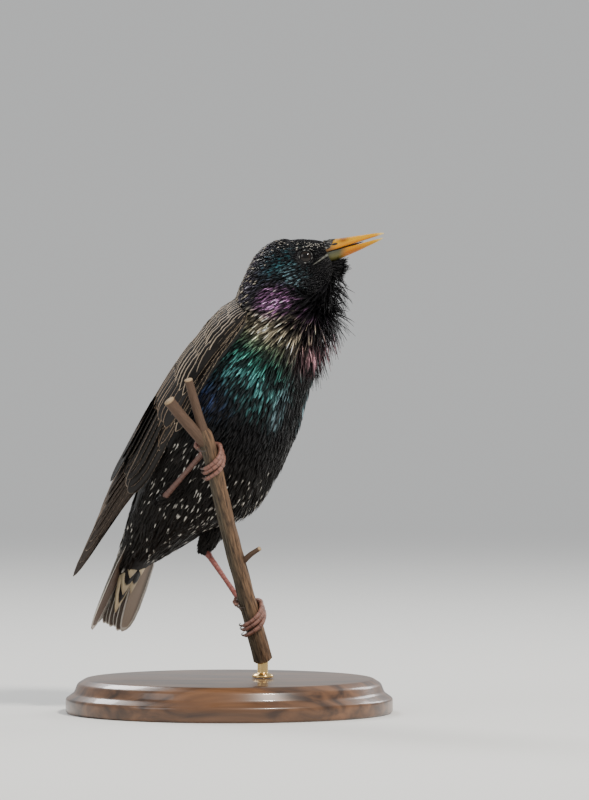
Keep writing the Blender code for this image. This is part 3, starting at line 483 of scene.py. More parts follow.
class Coat:
    """Feathers gathered into one mesh, with the values that its material reads.

    A wide coat's feathers also have a fringe of their own colour.
    """

    def __init__(self, name, outline, wide=False):
        self.name = name
        self.t, self.share = np.array(OUTLINES[outline], float).T
        self.across, self.under = np.array(WIDE_RING if wide else SLIM_RING, float)
        self.values = WIDE_VALUES if wide else SLIM_VALUES
        self.parts = []

    def add(self, root, lie, normal, length, width, rise=8.0, curl=-6.0, swerve=0.0, **more):
        """Feathers from roots, with the lie's direction and the surface's normal at each."""
        count = len(root)
        length = np.broadcast_to(length, count)
        rise, curl, swerve = (
            np.radians(np.broadcast_to(angle, count))[:, None, None] for angle in (rise, curl, swerve)
        )
        lie = unit(lie - normal * (lie * normal).sum(axis=1)[:, None])[:, None]
        normal = normal[:, None]
        side = np.cross(normal, lie)

        def heading(t):
            """The way along and the way up at shares of the length."""
            theta, phi = rise + curl * t[:, None], swerve * t[:, None]
            flat = lie * np.cos(phi) + side * np.sin(phi)
            way = flat * np.cos(theta) + normal * np.sin(theta)
            return way, normal * np.cos(theta) - flat * np.sin(theta)

        middles, _ = heading((self.t[1:] + self.t[:-1]) / 2)
        steps = middles * (np.diff(self.t)[None, :, None] * length[:, None, None])
        line = np.concatenate([np.zeros((count, 1, 3)), np.cumsum(steps, axis=1)], axis=1)
        way, up = heading(self.t)
        self.shape(line + root[:, None], way, up, length, width, **more)

    def shape(
        self, line, way, up, length, width, place, paint, patch=PATCH, roll=0.0, web=0.0, cup=0.25,
        thick=0.12, fringe=(0.0, 0.0), trim=(0.0, 0.0, 0.0), tip_trim=1.0,
    ):
        """Feathers about given lines, each with its own way along and way up at every row.

        Web makes one side wider, cup bends the sides down, and fringe is the pale edge on each side.
        """
        count = len(line)
        length, width, roll, web, cup, thick, low, high = (
            np.broadcast_to(np.asarray(value, float), (count,))[:, None, None]
            for value in (length, width, roll, web, cup, thick, *fringe)
        )
        t, c, under = self.t[None, :, None], self.across[None, None], self.under[None, None]
        over = unit(np.cross(up, way))
        turn = np.radians(roll)
        over, up = over * np.cos(turn) + up * np.sin(turn), up * np.cos(turn) - over * np.sin(turn)
        half = width / 2 * self.share[None, :, None]
        reach = half * (1 + web * np.sign(c))
        drop = cup * half * c**2 + under * thick
        verts = line[:, :, None] + over[:, :, None] * (c * reach)[..., None]
        verts = verts - up[:, :, None] * drop[..., None]
        sides = np.where(c < 0, low, np.where(c > 0, high, (low + high) / 2))
        tint = np.asarray(paint(self.t) if callable(paint) else paint, float)
        if tint.ndim == 3:
            tint = tint[:, :, None]
        across_patch = place[:, 0, None, None] + (c * 0.45 + under * 0.02) * patch[0]
        along_patch = place[:, 1, None, None] + (t - 0.5) * patch[1] * 0.9
        seed = rng.random(count)[:, None, None]
        shade = rng.uniform(*TRIM_SHADES, count)[:, None, None, None]
        numbers = {
            "along": t,
            "across": c,
            "seed": seed,
            "rim": np.minimum((1 - np.abs(c)) * reach, (1 - t) * length * tip_trim),
            "fringe": sides * (0.3 + 0.7 * smoothstep(0.1, 0.8, t)),
        }
        shape = verts.shape[:3]
        part = {key: np.broadcast_to(value, shape) for key, value in numbers.items()}
        part["verts"] = verts
        part["tint"] = np.broadcast_to(tint, shape + (4,))
        part["trim"] = np.broadcast_to(with_alpha(np.asarray(trim) * shade), shape + (4,))
        part["uv"] = np.stack(np.broadcast_arrays(across_patch, along_patch), axis=-1)
        self.parts.append(part)

    def finish(self, material, *nodes):
        rows, ring = len(self.t), len(self.across)
        verts = np.concatenate([part["verts"] for part in self.parts])
        starts = np.arange(len(verts))[:, None, None] * rows * ring
        faces = [(group + starts).reshape(-1, group.shape[1]) for group in ring_faces(rows, ring)]
        obj = make_mesh(self.name, verts, faces)
        for key in self.values:
            point_values(obj, key, np.concatenate([part[key] for part in self.parts]))
        uv_map(obj, "OFBake", np.concatenate([part["uv"] for part in self.parts]).reshape(-1, 2))
        fit(obj, material, "plumage", *nodes)


BARB_RATE, VANE_BARB_RATE = 34.0, 150.0
BARB_LEAN = -0.5
SHAFT_NARROWNESS = 9.0
FRINGE_SHARPNESS = 5.0


def plumage(name, rough=0.36, vanes=False, shine=0.3):
    """Feather material: the tint along each feather, with fine barbs raised along it.

    Vanes also carry a fringe of their own colour, as wide as the fringe value says.
    """
    look = Look(name)
    tint, metal = look.value("tint", "Color"), look.value("tint", "Alpha")
    along, across, seed = look.value("along"), look.value("across"), look.value("seed")
    from_shaft = look.maths("ABSOLUTE", across)
    leaning_along = look.maths("MULTIPLY_ADD", from_shaft, BARB_LEAN, along)
    lines = look.maths("SINE", look.maths("MULTIPLY", leaning_along, VANE_BARB_RATE if vanes else BARB_RATE))
    shaft = look.maths("SUBTRACT", 1.0, look.maths("MULTIPLY", from_shaft, SHAFT_NARROWNESS))
    shaft = look.maths("MAXIMUM", shaft, 0.0)
    height = look.maths("MULTIPLY_ADD", lines, 0.35, look.maths("MULTIPLY", shaft, 1.2))
    shade = look.maths("MULTIPLY_ADD", lines, 0.16, look.maths("MULTIPLY_ADD", seed, 0.3, 0.85))
    colour = look.scaled(tint, shade)
    if vanes:
        ragged = look.maths("MULTIPLY_ADD", lines, 0.12, look.value("rim"))
        inside = look.maths("SUBTRACT", ragged, look.value("fringe"))
        edge = look.maths("SUBTRACT", 0.5, look.maths("MULTIPLY", inside, FRINGE_SHARPNESS))
        colour = look.mix(colour, look.value("trim", "Color"), edge, clamp_factor=True)
    return look.finish(
        {
            "Base Color": colour,
            "Metallic": metal,
            "Normal": look.relief(height, 0.35, 0.00012),
            "Roughness": rough,
            "Specular IOR Level": shine,
        }
    )


def skin_material():
    look = Look("skin")
    noise = look.node("TexNoise", {"Scale": 900.0}, "Fac")
    colour = look.scaled(look.value("tint", "Color"), noise)
    normal = look.relief(noise, 0.5, 0.0003)
    return look.finish({"Base Color": colour, "Normal": normal, "Roughness": 0.75})


def tinted(name, rough, scale=300.0, relief_size=0.3, spread=0.35, shine=0.5):
    """A hard or leathery surface in its own tint, slightly mottled and uneven."""
    look = Look(name)
    noise = look.node("TexNoise", {"Scale": scale, "Detail": 6.0}, "Fac")
    shade = look.maths("MULTIPLY_ADD", noise, spread * 2, 1 - spread)
    return look.finish(
        {
            "Base Color": look.scaled(look.value("tint", "Color"), shade),
            "Normal": look.relief(noise, relief_size, 0.0002),
            "Roughness": rough,
            "Specular IOR Level": shine,
        }
    )


# The plumage's colours, by body length and angle from the back

BLACK = np.array((0.0055, 0.0052, 0.006))
BROWN_BLACK = np.array((0.011, 0.0095, 0.0085))
TEAL = np.array((0.015, 0.16, 0.18))
SLATE = np.array((0.2, 0.3, 0.34))
PURPLE = np.array((0.56, 0.24, 0.52))
CREAM = np.array((0.86, 0.74, 0.5))
LIME = np.array((0.42, 0.56, 0.32))
EMERALD = np.array((0.06, 0.34, 0.24))
AQUA = np.array((0.14, 0.44, 0.43))
VIOLET = np.array((0.06, 0.08, 0.24))
PINK = np.array((0.66, 0.32, 0.38))
BUFF = np.array((0.62, 0.5, 0.36))
WHITE = np.array((0.66, 0.63, 0.57))
SHEENS = (
    # colour, strength, body length and its spread, angle and its spread, how far it slants
    (TEAL, 0.28, 18, 7, 72, 26, 0),
    (SLATE, 0.6, 16.5, 3.6, 97, 12, 0),
    (PURPLE, 1.7, 31.2, 4.4, 102, 12, 0),
    (PURPLE, 0.16, 36, 5, 130, 18, 0),
    (PINK, 1.6, 47.5, 4.0, 168, 20, 0),
    (CREAM, 1.6, 42.6, 3.4, 114, 28, 0.07),
    (LIME, 0.6, 48.2, 2.6, 112, 30, 0.07),
    (EMERALD, 0.5, 53, 4.0, 112, 32, 0.07),
    (AQUA, 0.55, 59, 4.4, 118, 30, 0.07),
    (VIOLET, 0.4, 73, 7, 84, 20, 0),
    (AQUA, 0.14, 66, 5, 112, 36, 0.07),
    (SLATE, 0.9, 65, 7, 157, 6, 0),
    (EMERALD, 0.15, 58, 26, 30, 50, 0),
    (PURPLE, 0.1, 30, 12, 20, 50, 0),
)
SLANT_CENTRE = 114
MOST_SHEEN = 1.6
SPECKLE_BUMPS = (
    # chance, body length and its spread, angle and its spread
    (0.36, 23, 8, 26, 22),
    (0.5, 36, 9, 20, 45),
    (0.55, 3.0, 5.0, 56, 14),
)
# Share of feathers left without a painted highlight, and the faint gloss they keep
UNLIT_SHARE = 0.5
UNLIT_GLOW = 0.1
TIP_FROM = 0.82


def sheens(u, a):
    """Colour and strength of the gloss at body length u and angle a from the back."""
    colour, total = 0.0, 1e-6
    for tone, most, length, length_spread, angle, angle_spread, slant in SHEENS:
        middle = length + slant * (a - SLANT_CENTRE)
        strength = most * bump(middle, length_spread, u) * bump(angle, angle_spread, a)
        colour = colour + tone * strength[..., None]
        total = total + strength
    return colour / total[..., None], np.clip(total, 0, MOST_SHEEN)


def speckles(u, a):
    """Colour and chance of a pale tip at the feather's root."""
    chance = 0.0
    for most, length, length_spread, angle, angle_spread in SPECKLE_BUMPS:
        chance = chance + most * bump(length, length_spread, u) * bump(angle, angle_spread, a)
    belly = smoothstep(80, 96, u) * (1 - 0.45 * smoothstep(112, 128, u))
    chance = chance + 0.2 * belly * smoothstep(60, 110, a)
    chance = chance + 0.5 * smoothstep(45, 60, u) * (1 - smoothstep(50, 75, a))
    buff = (bump(40, 26, u) * (1 - smoothstep(60, 110, a)))[:, None]
    return blend(WHITE[None], BUFF[None], buff), np.clip(chance, 0, 0.8)


def drift(u, angle, lie, length):
    """How far a feather's tip moves over the body from its root: in length and in angle."""
    return [length * (lie * way).sum(axis=1) / (way**2).sum(axis=1) for way in body_slopes(u, angle)]


def painter(u, angle, lie, length, tip_from=TIP_FROM, highlight_share=1.0):
    """Colours along feathers rooted at u and angle, each a little unlike its neighbours, with painted
    highlights on some.
    """
    count = len(u)
    far, turned_by = drift(u, angle, lie, length)
    pale, chance = speckles(u, from_back(angle))
    # Painted highlights: each feather gets a random brightness as if it caught the light, and about half are
    # left dark as if they did not.
    lit = np.clip(rng.lognormal(-0.1, 0.8, count), 0.12, 3.0)
    lit = np.where(rng.random(count) < UNLIT_SHARE, UNLIT_GLOW, lit) * highlight_share
    spotted = (rng.random(count) < chance).astype(float) * rng.uniform(0.5, 1.0, count)
    warm = smoothstep(70, 100, u)[:, None]
    ground = blend(BLACK[None], BROWN_BLACK[None], warm) * rng.uniform(0.6, 1.6, count)[:, None]

    def at(t):
        here = np.clip(u[:, None] + far[:, None] * t[None], 0, KNOTS[-1])
        sheen, strength = sheens(here, from_back(angle[:, None] + turned_by[:, None] * t[None]))
        glow = smoothstep(0.36, 0.8, t)[None, :, None]
        gloss = (strength * lit[:, None])[..., None] * glow
        tip = smoothstep(tip_from - 0.08, tip_from, t)[None, :, None] * spotted[:, None, None]
        colour = blend(ground[:, None] + sheen * gloss, pale[:, None], tip)
        metal = np.clip(0.8 * gloss, 0, 0.75) * (1 - tip)
        return np.concatenate([np.clip(colour, 0, 0.95), metal], axis=-1)

    return at


def body_patch(u, a):
    """Place of a tuft in the unwrap of the body: round it across, along it upwards."""
    return np.stack([0.02 + 0.6 * np.mod(a, 360) / 360, 0.98 - 0.96 * u / KNOTS[-1]], axis=1)


# The folded wing's surface, as in the solids

WING_EDGES = np.array(
    (
        # down, then right and dorsal of the lower edge and of the upper edge, and the bulge between
        (-14.0, 18.5, 5.0, 6.5, 16.5, 1.6),
        (-6.0, 22.5, 4.5, 7.5, 18.8, 2.4),
        (6.0, 26.0, 4.2, 8.0, 19.8, 2.4),
        (20.0, 28.0, 3.6, 8.0, 22.0, 3.4),
        (40.0, 28.4, 1.8, 8.0, 23.4, 5.0),
        (60.0, 26.4, 1.4, 8.6, 22.8, 5.4),
        (80.0, 24.5, 5.0, 12.5, 21.4, 4.2),
        (95.0, 21.5, 9.8, 15.5, 18.2, 2.2),
        (106.0, 20.4, 12.2, 17.6, 16.0, 0.8),
        (121.0, 20.2, 13.6, 19.4, 14.4, 0.1),
    )
)
WING_COVERS = (-4, 84)
WING_MARGIN = 4.5


def wing_edges(down):
    return [np.interp(down, WING_EDGES[:, 0], column) for column in WING_EDGES[:, 1:].T]


def wing_spot(down, across, hand, lift=0.0):
    """Points of the wing from its lower edge, across 0, to its upper edge, across 1."""
    down, across = np.broadcast_arrays(np.asarray(down, float), np.asarray(across, float))
    low_r, low_d, high_r, high_d, bulge = wing_edges(down)
    out = unit(np.stack([high_d - low_d, low_r - high_r], axis=-1))
    rise = lift + bulge * 4 * across * (1 - across)
    right = blend(low_r, high_r, across) + out[..., 0] * rise
    back = blend(low_d, high_d, across) + out[..., 1] * rise
    return body_place(down, right * hand, back)


def wing_normal(down, across, hand):
    along = wing_spot(down + 0.5, across, hand) - wing_spot(down - 0.5, across, hand)
    over = wing_spot(down, across + 0.01, hand) - wing_spot(down, across - 0.01, hand)
    return unit(np.cross(along, over)) * hand


def under_wing(points):
    """True for points of the body that lie well under a folded wing."""
    down, right, dorsal = in_body(points)
    low_r, low_d, high_r, high_d, _ = wing_edges(down)
    angle = np.degrees(np.arctan2(dorsal, np.abs(right)))
    low = np.degrees(np.arctan2(low_d, low_r) + WING_MARGIN / 28.0)
    high = np.degrees(np.arctan2(high_d, high_r) - WING_MARGIN / 24.0)
    return (down > WING_COVERS[0]) & (down < WING_COVERS[1]) & (angle > low) & (angle < high)


# Coats of small feathers

EYE_RADIUS = 3.3
EYE_SHOWS = 1.0
EYE_AHEAD = 2.7
EYE_ANGLE = 82.0
EYE_AREA = 9.0
ROOTS_FROM_EYE = 3.35
TIPS_FROM_EYE = 3.1
EYE_LANE = 3.2
COAT_DEPTHS = ((0, 0.5), (6, 0.7), (14, 1.1), (40, 1.7), (70, 2.0), (150, 1.6))
TRACTS = (
    # name, node, outline, body lengths from and to, spacing along and round the body,
    # feather lengths, widths, where a pale tip starts, furthest angle from the back
    ("face_coat", "head", "contour", (0.3, 11.0), (0.62, 0.62), (1.5, 2.8), (0.55, 0.7), 0.74, 180),
    ("crown_coat", "head", "contour", (11.0, 21.0), (0.8, 0.72), (2.9, 4.0), (0.7, 0.8), 0.78, 180),
    ("nape_coat", "head", "lancet", (21.0, 31.0), (0.9, 0.78), (4.0, 5.4), (0.75, 0.85), 0.82, 180),
    ("neck_coat", "neck", "lancet", (31.0, 42.0), (1.0, 0.9), (5.6, 6.8), (0.95, 1.15), 0.84, 180),
    ("shoulder_coat", "torso", "lancet", (42.0, 56.0), (1.15, 1.0), (6.8, 8.2), (1.15, 1.3), 0.84, 180),
    ("breast_coat", "torso", "lancet", (56.0, 84.0), (1.35, 1.05), (8.6, 9.6), (1.3, 1.35), 0.86, 180),
    ("belly_coat", "torso", "pointed", (84.0, 122.0), (1.5, 1.05), (9.6, 10.4), (1.4, 1.6), 0.84, 180),
    ("vent_coat", "torso", "pointed", (122.0, 148.0), (1.6, 1.15), (9.8, 7.4), (1.6, 1.8), 0.84, 180),
    ("rump_coat", "torso", "contour", (148.0, 158.0), (1.7, 1.4), (8.0, 7.0), (1.8, 2.0), 0.9, 110),
)
SOFT_FROM = 80
LOOSE_FROM = 20
HACKLE_SPAN = (0.6, AT["neck"] + 10)
HACKLE_EDGE = ((0, 146), (10, 130), (28, 118), (50, 114))
HACKLE_RISE = ((0, 80), (12, 62), (26, 56), (34, 52), (42, 36), (50, 18))
HACKLE_LENGTH = ((0, 8.0), (8, 11.0), (16, 13.0), (34, 15.5), (50, 14.0))
CHIN_COUNT = 420
THIGH_COUNT = 900
THIGH_SWELL = ((-0.2, 0.8), (0.0, 0.8), (0.25, 1.0), (0.5, 0.86), (0.75, 0.55), (0.92, 0.25), (1.0, 0.0))
FEET = {
    # hock, height of the palm on the branch, where the thigh starts, its radii, its tube's seam
    "right": ((-27.3, -19.3, 87.9), 107.0, (47.0, 9.0, -9.0), (5.5, 2.4), (0.3, 0.2, 0.93)),
    "left": ((-10.2, 7.4, 66.7), 42.0, (60.0, -10.0, -16.0), (6.5, 2.5), (1.0, 0.1, 0.0)),
}


def eye_place(side):
    """An eye's centre and the way it looks. Side is 1 on the right and -1 on the left."""
    u = np.array([AT["eyes"] - EYE_AHEAD])
    _, forward, right, dorsal = section(u)
    surface = body(u, EYE_ANGLE if side > 0 else 360 - EYE_ANGLE)
    look = unit(right * side + forward * 0.18 + dorsal * 0.06)
    return (surface - look * (EYE_RADIUS - EYE_SHOWS))[0], look[0]


EYES = {"right": eye_place(1), "left": eye_place(-1)}


def coat_depth(u):
    return graph(COAT_DEPTHS, u)


def lie_at(u, a):
    """The way the feathers lie: back from the bill on the head, turning down onto the body."""
    turn = smoothstep(12, 62, u) * 0.75 + 0.25 * smoothstep(12, 40, u)
    throat = smoothstep(120, 175, a) * (1 - smoothstep(60, 90, u)) * 0.35
    return unit(blend(HEAD_BACK[None], DOWN[None], np.clip(turn + throat, 0, 1)[:, None]))


def roots_on_body(start, end, along, across):
    """Body lengths and angles in staggered rings, along(u) apart, and across apart in a ring."""
    lengths, angles = [], []
    u = start
    while u < end:
        row = section(np.array([u]))[0][0]
        girth = math.pi * (row[3] + (row[4] + row[5]) / 2)
        count = max(8, int(girth / across))
        angle = (np.arange(count) + 0.5 * (len(angles) % 2)) * 360 / count
        angles.append(angle + rng.uniform(-0.32, 0.32, count) * 360 / count)
        lengths.append(u + rng.uniform(-0.4, 0.4, count) * along(u))
        u += along(u)
    return np.clip(np.concatenate(lengths), 0.2, KNOTS[-1] - 0.5), np.concatenate(angles)


def clear_of_eyes(root, lie, length):
    """Which feathers to keep, and lengths short enough to leave the eyes open."""
    keep = np.ones(len(root), bool)
    for centre, look in EYES.values():
        rel = root - (centre + look * (EYE_RADIUS - 0.6))
        flat = rel - (rel @ look)[:, None] * look[None]
        far = np.linalg.norm(flat, axis=1)
        near = np.linalg.norm(rel, axis=1) < EYE_AREA
        keep &= ~(near & (far < ROOTS_FROM_EYE))
        towards = -(flat * lie).sum(axis=1) / np.maximum(far, 1e-6)
        room = np.maximum(far - TIPS_FROM_EYE, 0.3) * 0.95
        beside = np.sqrt(np.maximum(far**2 - (towards * far) ** 2, 0)) < EYE_LANE
        length = np.where(near & beside & (towards > 0.2), np.minimum(length, room), length)
    return keep, length


def build_tract(name, node, outline, span, gaps, lengths, widths, tip_from, furthest, material):
    """One area of small body feathers."""
    u, angle = roots_on_body(*span, lambda _: gaps[0], gaps[1])
    keep = from_back(angle) <= furthest
    u, angle = u[keep], angle[keep]
    root = body(u, angle, -coat_depth(u))
    keep = ~under_wing(root)
    u, angle, root = u[keep], angle[keep], root[keep]
    lie = lie_at(u, from_back(angle))
    long = np.interp(u, span, lengths) * rng.uniform(0.82, 1.15, len(u))
    keep, long = clear_of_eyes(root, lie, long)
    u, angle, root, lie, long = (values[keep] for values in (u, angle, root, lie, long))
    count = len(u)
    steepness = np.clip(coat_depth(u) / np.maximum(long, 0.5), 0.03, 0.5)
    rise = np.degrees(np.arcsin(steepness)) * 1.15 + rng.normal(0, 2.0, count)
    coat = Coat(name, outline)
    coat.add(
        root,
        lie + rng.normal(0, 0.05, (count, 3)),
        body_normal(u, angle),
        long,
        np.interp(u, span, widths) * rng.uniform(0.8, 1.2, count),
        rise=rise,
        curl=-0.9 * rise,
        swerve=rng.normal(0, 6, count),
        roll=rng.normal(0, 12 if span[0] > LOOSE_FROM else 7, count),
        cup=0.3,
        thick=0.1,
        place=body_patch(u, angle),
        paint=painter(u, angle, lie, long, tip_from),
    )
    coat.finish(material, node)


def build_body_coat():
    soft, gloss = plumage("coat_soft", 0.42, shine=0.14), plumage("coat_gloss", 0.27, shine=0.16)
    for row in TRACTS:
        start = row[3][0]
        build_tract(*row, soft if start > SOFT_FROM else gloss)


def build_hackles():
    """The throat's long loose feathers, which stand away from it as the bird sings."""
    coat = Coat("throat_hackles", "pointed")
    u, angle = roots_on_body(*HACKLE_SPAN, lambda v: 0.8 if v < 16 else 1.3, 1.2)
    keep = from_back(angle) > graph(HACKLE_EDGE, u)
    u, angle = u[keep], angle[keep]
    a, count = from_back(angle), len(u)
    lie, middle = lie_at(u, a), smoothstep(110, 168, a)
    steep = graph(HACKLE_RISE, u) * blend(0.3, 1.0, middle)
    long = graph(HACKLE_LENGTH, u) * rng.uniform(0.7, 1.1, count) * blend(0.75, 1.0, middle)
    coat.add(
        body(u, angle, -coat_depth(u)),
        lie + rng.normal(0, 0.09, (count, 3)),
        body_normal(u, angle),
        long,
        rng.uniform(0.6, 1.0, count),
        rise=steep + rng.normal(0, 6, count),
        curl=-steep * rng.uniform(0.3, 0.9, count),
        swerve=rng.normal(0, 9, count),
        roll=rng.normal(0, 16, count),
        cup=0.3,
        place=body_patch(u, angle),
        paint=painter(u, angle, lie, long * np.cos(np.radians(steep)), highlight_share=0.6),
    )
    add_chin(coat)
    coat.finish(plumage("hackles", 0.34, shine=0.14), "head", "neck")


def add_chin(coat):
    """Short feathers that stand forward from the chin, close under the lower bill."""
    side, depth = rng.uniform(-1, 1, CHIN_COUNT), rng.uniform(0, 1, CHIN_COUNT)
    root = BILL_BASE + BILL_RIGHT * (side * 4.0)[:, None] - BILL_UP * (4.4 + 4.6 * depth)[:, None]
    way = BILL_WAY * blend(1.0, 0.4, depth)[:, None] - BILL_UP * blend(0.2, 1.1, depth)[:, None]
    way = way + BILL_RIGHT * (side * 0.3)[:, None] + rng.normal(0, 0.07, (CHIN_COUNT, 3))
    long = rng.uniform(4.6, 9.0, CHIN_COUNT) * (1 - 0.35 * np.abs(side))
    black = BLACK * rng.uniform(0.5, 1.8, CHIN_COUNT)[:, None]
    coat.add(
        root - BILL_WAY * 1.4,
        way,
        unit(BILL_RIGHT * side[:, None] * 0.8 - BILL_UP * 0.5),
        long,
        rng.uniform(0.6, 0.9, CHIN_COUNT),
        rise=0.0,
        curl=rng.normal(4, 5, CHIN_COUNT),
        swerve=rng.normal(0, 6, CHIN_COUNT),
        roll=rng.normal(0, 30, CHIN_COUNT),
        place=body_patch(0 * side, 180 + 12 * side),
        paint=with_alpha(black, 0.0)[:, None, None],
    )


def build_thigh_coat():
    """Small feathers down each thigh, over the top of the bare leg."""
    coat = Coat("thigh_coat", "contour")
    for hock, _, start, (thick, thin), _ in FEET.values():
        hip, end = body_place(*start), np.array(hock)
        way = unit(end - hip)
        first = unit(np.cross(way, (0.1, 0.3, 0.9)))
        share, turn = rng.uniform(0.0, 0.98, THIGH_COUNT), rng.uniform(0, math.tau, THIGH_COUNT)
        out = circle(first, np.cross(way, first), turn)
        size = thin - 0.9 + (thick - thin - 0.4) * graph(THIGH_SWELL, share)
        long = blend(6.5, 3.4, share) * rng.uniform(0.8, 1.15, THIGH_COUNT)
        shade = BROWN_BLACK * rng.uniform(0.6, 1.8, THIGH_COUNT)[:, None]
        coat.add(
            blend(hip, end, share[:, None]) + out * size[:, None],
            np.broadcast_to(way, out.shape),
            out,
            long,
            rng.uniform(1.0, 1.5, THIGH_COUNT),
            rise=11 + rng.normal(0, 2, THIGH_COUNT),
            curl=-13,
            swerve=rng.normal(0, 8, THIGH_COUNT),
            roll=rng.normal(0, 10, THIGH_COUNT),
            place=np.stack([0.98 - 0.04 * share, 0.72 + 0.03 * turn / math.tau], axis=1),
            paint=with_alpha(shade, 0.1)[:, None, None],
        )
    coat.finish(plumage("coat_thigh", 0.45, shine=0.14), "thigh_right", "thigh_left")


# Skin

BODY_NODES = ("head", "neck", "torso", "thigh_right", "thigh_left")
SKIN_GRAIN = 0.8
SKIN_LENGTHS = ((-48, 0), (-38, 10.7), (-23, 28), (-12, 39.6), (2, 54.3), (20, 72.4), (125, 161))


def skin_pieces():
    """The body, the root of each wing and each thigh, under the coat."""
    u, angles = np.linspace(0.2, KNOTS[-1], 110), np.linspace(0, 360, 72, endpoint=False)
    yield loft("skin", np.stack([body(u, angle, -coat_depth(u)) for angle in angles], axis=1))
    downs, shares = np.linspace(-11, 50, 26), np.linspace(0.04, 0.96, 14)
    for hand in (1, -1):
        outer = [wing_spot(downs, share, hand, 0.7) for share in shares]
        inner = [wing_spot(downs, share, hand, -7.0) for share in shares[::-1]]
        yield loft("wing_skin", np.stack(outer + inner, axis=1))
    shares, swell = np.transpose(THIGH_SWELL)
    for hock, _, start, (thick, thin), seam in FEET.values():
        hip = body_place(*start)
        end = hock - unit(hock - hip) * 0.6
        radii = thin - 0.7 + (thick - thin - 0.4) * swell
        yield tube("thigh_skin", blend(hip, end, shares[:, None]), radii, 20, seam=seam)[0]


def build_skin():
    """One skin under the coat, from the bill's base to the tail, with wings and thighs."""
    bpy.ops.object.select_all(action="DESELECT")
    pieces = list(skin_pieces())
    for piece in pieces:
        piece.select_set(True)
    skin = pieces[0]
    bpy.context.view_layer.objects.active = skin
    bpy.ops.object.join()
    remesh = skin.modifiers.new("one_skin", "REMESH")
    remesh.mode = "VOXEL"
    remesh.voxel_size = SKIN_GRAIN * MM
    even = skin.modifiers.new("even", "SMOOTH")
    even.iterations = 6
    even.factor = 0.5
    bpy.ops.object.modifier_apply(modifier="one_skin")
    bpy.ops.object.modifier_apply(modifier="even")
    skin.data.polygons.foreach_set("use_smooth", np.ones(len(skin.data.polygons), bool))
    points = points_of(skin)
    u = graph(SKIN_LENGTHS, in_body(points)[0])
    row, _, right, dorsal = section(u)
    rel = points - row[:, :3]
    a = np.degrees(np.arctan2(np.abs((rel * right).sum(axis=1)), (rel * dorsal).sum(axis=1)))
    sheen, strength = sheens(u, a)
    paint_points(skin, BLACK[None] * 1.3 + sheen * strength[:, None] * 0.06)
    skin.data.materials.clear()
    fit(skin, skin_material(), "plumage", *BODY_NODES)


# Wings

VANE_GROUPS = (
    # outline; how many; first and last: root down, root across, tip down, tip across, width, lift
    ("vane", 8, (36, 34), (0.10, 0.40), (121, 84), (0.40, 0.68), (6.8, 8.2), (-1.0, 0.4)),
    ("vane", 6, (26, 28), (0.18, 0.62), (76, 67), (0.12, 0.56), (8.6, 9.4), (0.6, 1.8)),
    ("vane", 3, (24, 24), (0.70, 0.90), (79, 58), (0.64, 0.88), (11.0, 10.0), (2.1, 2.8)),
    ("blunt", 6, (22, 22), (0.03, 0.20), (52, 43), (0.07, 0.24), (4.8, 5.6), (0.8, 1.3)),
    ("blunt", 2, (16, 16), (0.03, 0.07), (37, 31), (0.04, 0.09), (4.4, 4.0), (1.4, 1.7)),
    ("blunt", 11, (14, 14), (0.08, 0.86), (42, 38), (0.11, 0.88), (6.0, 6.4), (1.9, 2.6)),
    ("lance", 9, (2, 2), (0.04, 0.84), (27, 24), (0.07, 0.86), (6.4, 6.8), (2.4, 3.0)),
    ("lance", 10, (-4, -4), (0.00, 0.86), (17, 15), (0.03, 0.88), (5.4, 5.8), (2.4, 3.1)),
    ("lance", 11, (-8, -8), (0.00, 0.86), (9, 7), (0.02, 0.88), (4.8, 5.2), (2.2, 2.8)),
    ("lance", 11, (-11, -11), (0.00, 0.86), (2, 0), (0.02, 0.88), (4.6, 5.0), (1.8, 2.0)),
    ("lance", 11, (-14, -14), (0.02, 0.86), (-4, -6), (0.02, 0.88), (4.4, 4.8), (1.2, 1.2)),
    ("lance", 16, (-15, 30), (-0.04, -0.02), (-7, 39), (0.0, 0.02), (3.2, 3.6), (0.9, 1.3)),
    ("lance", 16, (-13, 32), (-0.09, -0.07), (-5, 41), (-0.05, -0.03), (3.0, 3.4), (0.5, 0.9)),
    ("lance", 5, (10, 4), (0.78, 1.12), (38, 26), (0.78, 1.10), (6.8, 6.4), (3.0, 3.5)),
    ("lance", 5, (2, -3), (0.78, 1.16), (26, 16), (0.80, 1.12), (6.2, 6.0), (3.2, 3.7)),
    ("lance", 5, (-4, -8), (0.80, 1.18), (16, 8), (0.80, 1.14), (5.6, 5.4), (3.3, 3.8)),
    ("lance", 5, (-9, -12), (0.80, 1.18), (8, 2), (0.80, 1.14), (5.2, 5.0), (2.6, 2.8)),
    ("lance", 5, (-13, -15), (0.80, 1.18), (1, -4), (0.80, 1.14), (5.0, 4.8), (1.4, 1.4)),
)
FRINGES = {"vane": (0.3, 0.1), "blunt": (0.42, 0.14), "lance": (0.52, 0.1)}
TRIMS = {"vane": (0.34, 0.26, 0.2), "blunt": (0.46, 0.33, 0.23), "lance": (0.66, 0.52, 0.38)}
WING_TILT = 6.0
VANE_WEB = 0.22
ROOT_LIFT = 0.8
ROOT_SHARE = 0.35
PRIMARIES_FROM = 30
PRIMARY_BROWN = np.array((0.028, 0.019, 0.014))


def patches(x, step, y, count):
    """Places in a row on the unwrap, one for each feather."""
    return np.stack([x + step * np.arange(count), np.full(count, y)], axis=1)


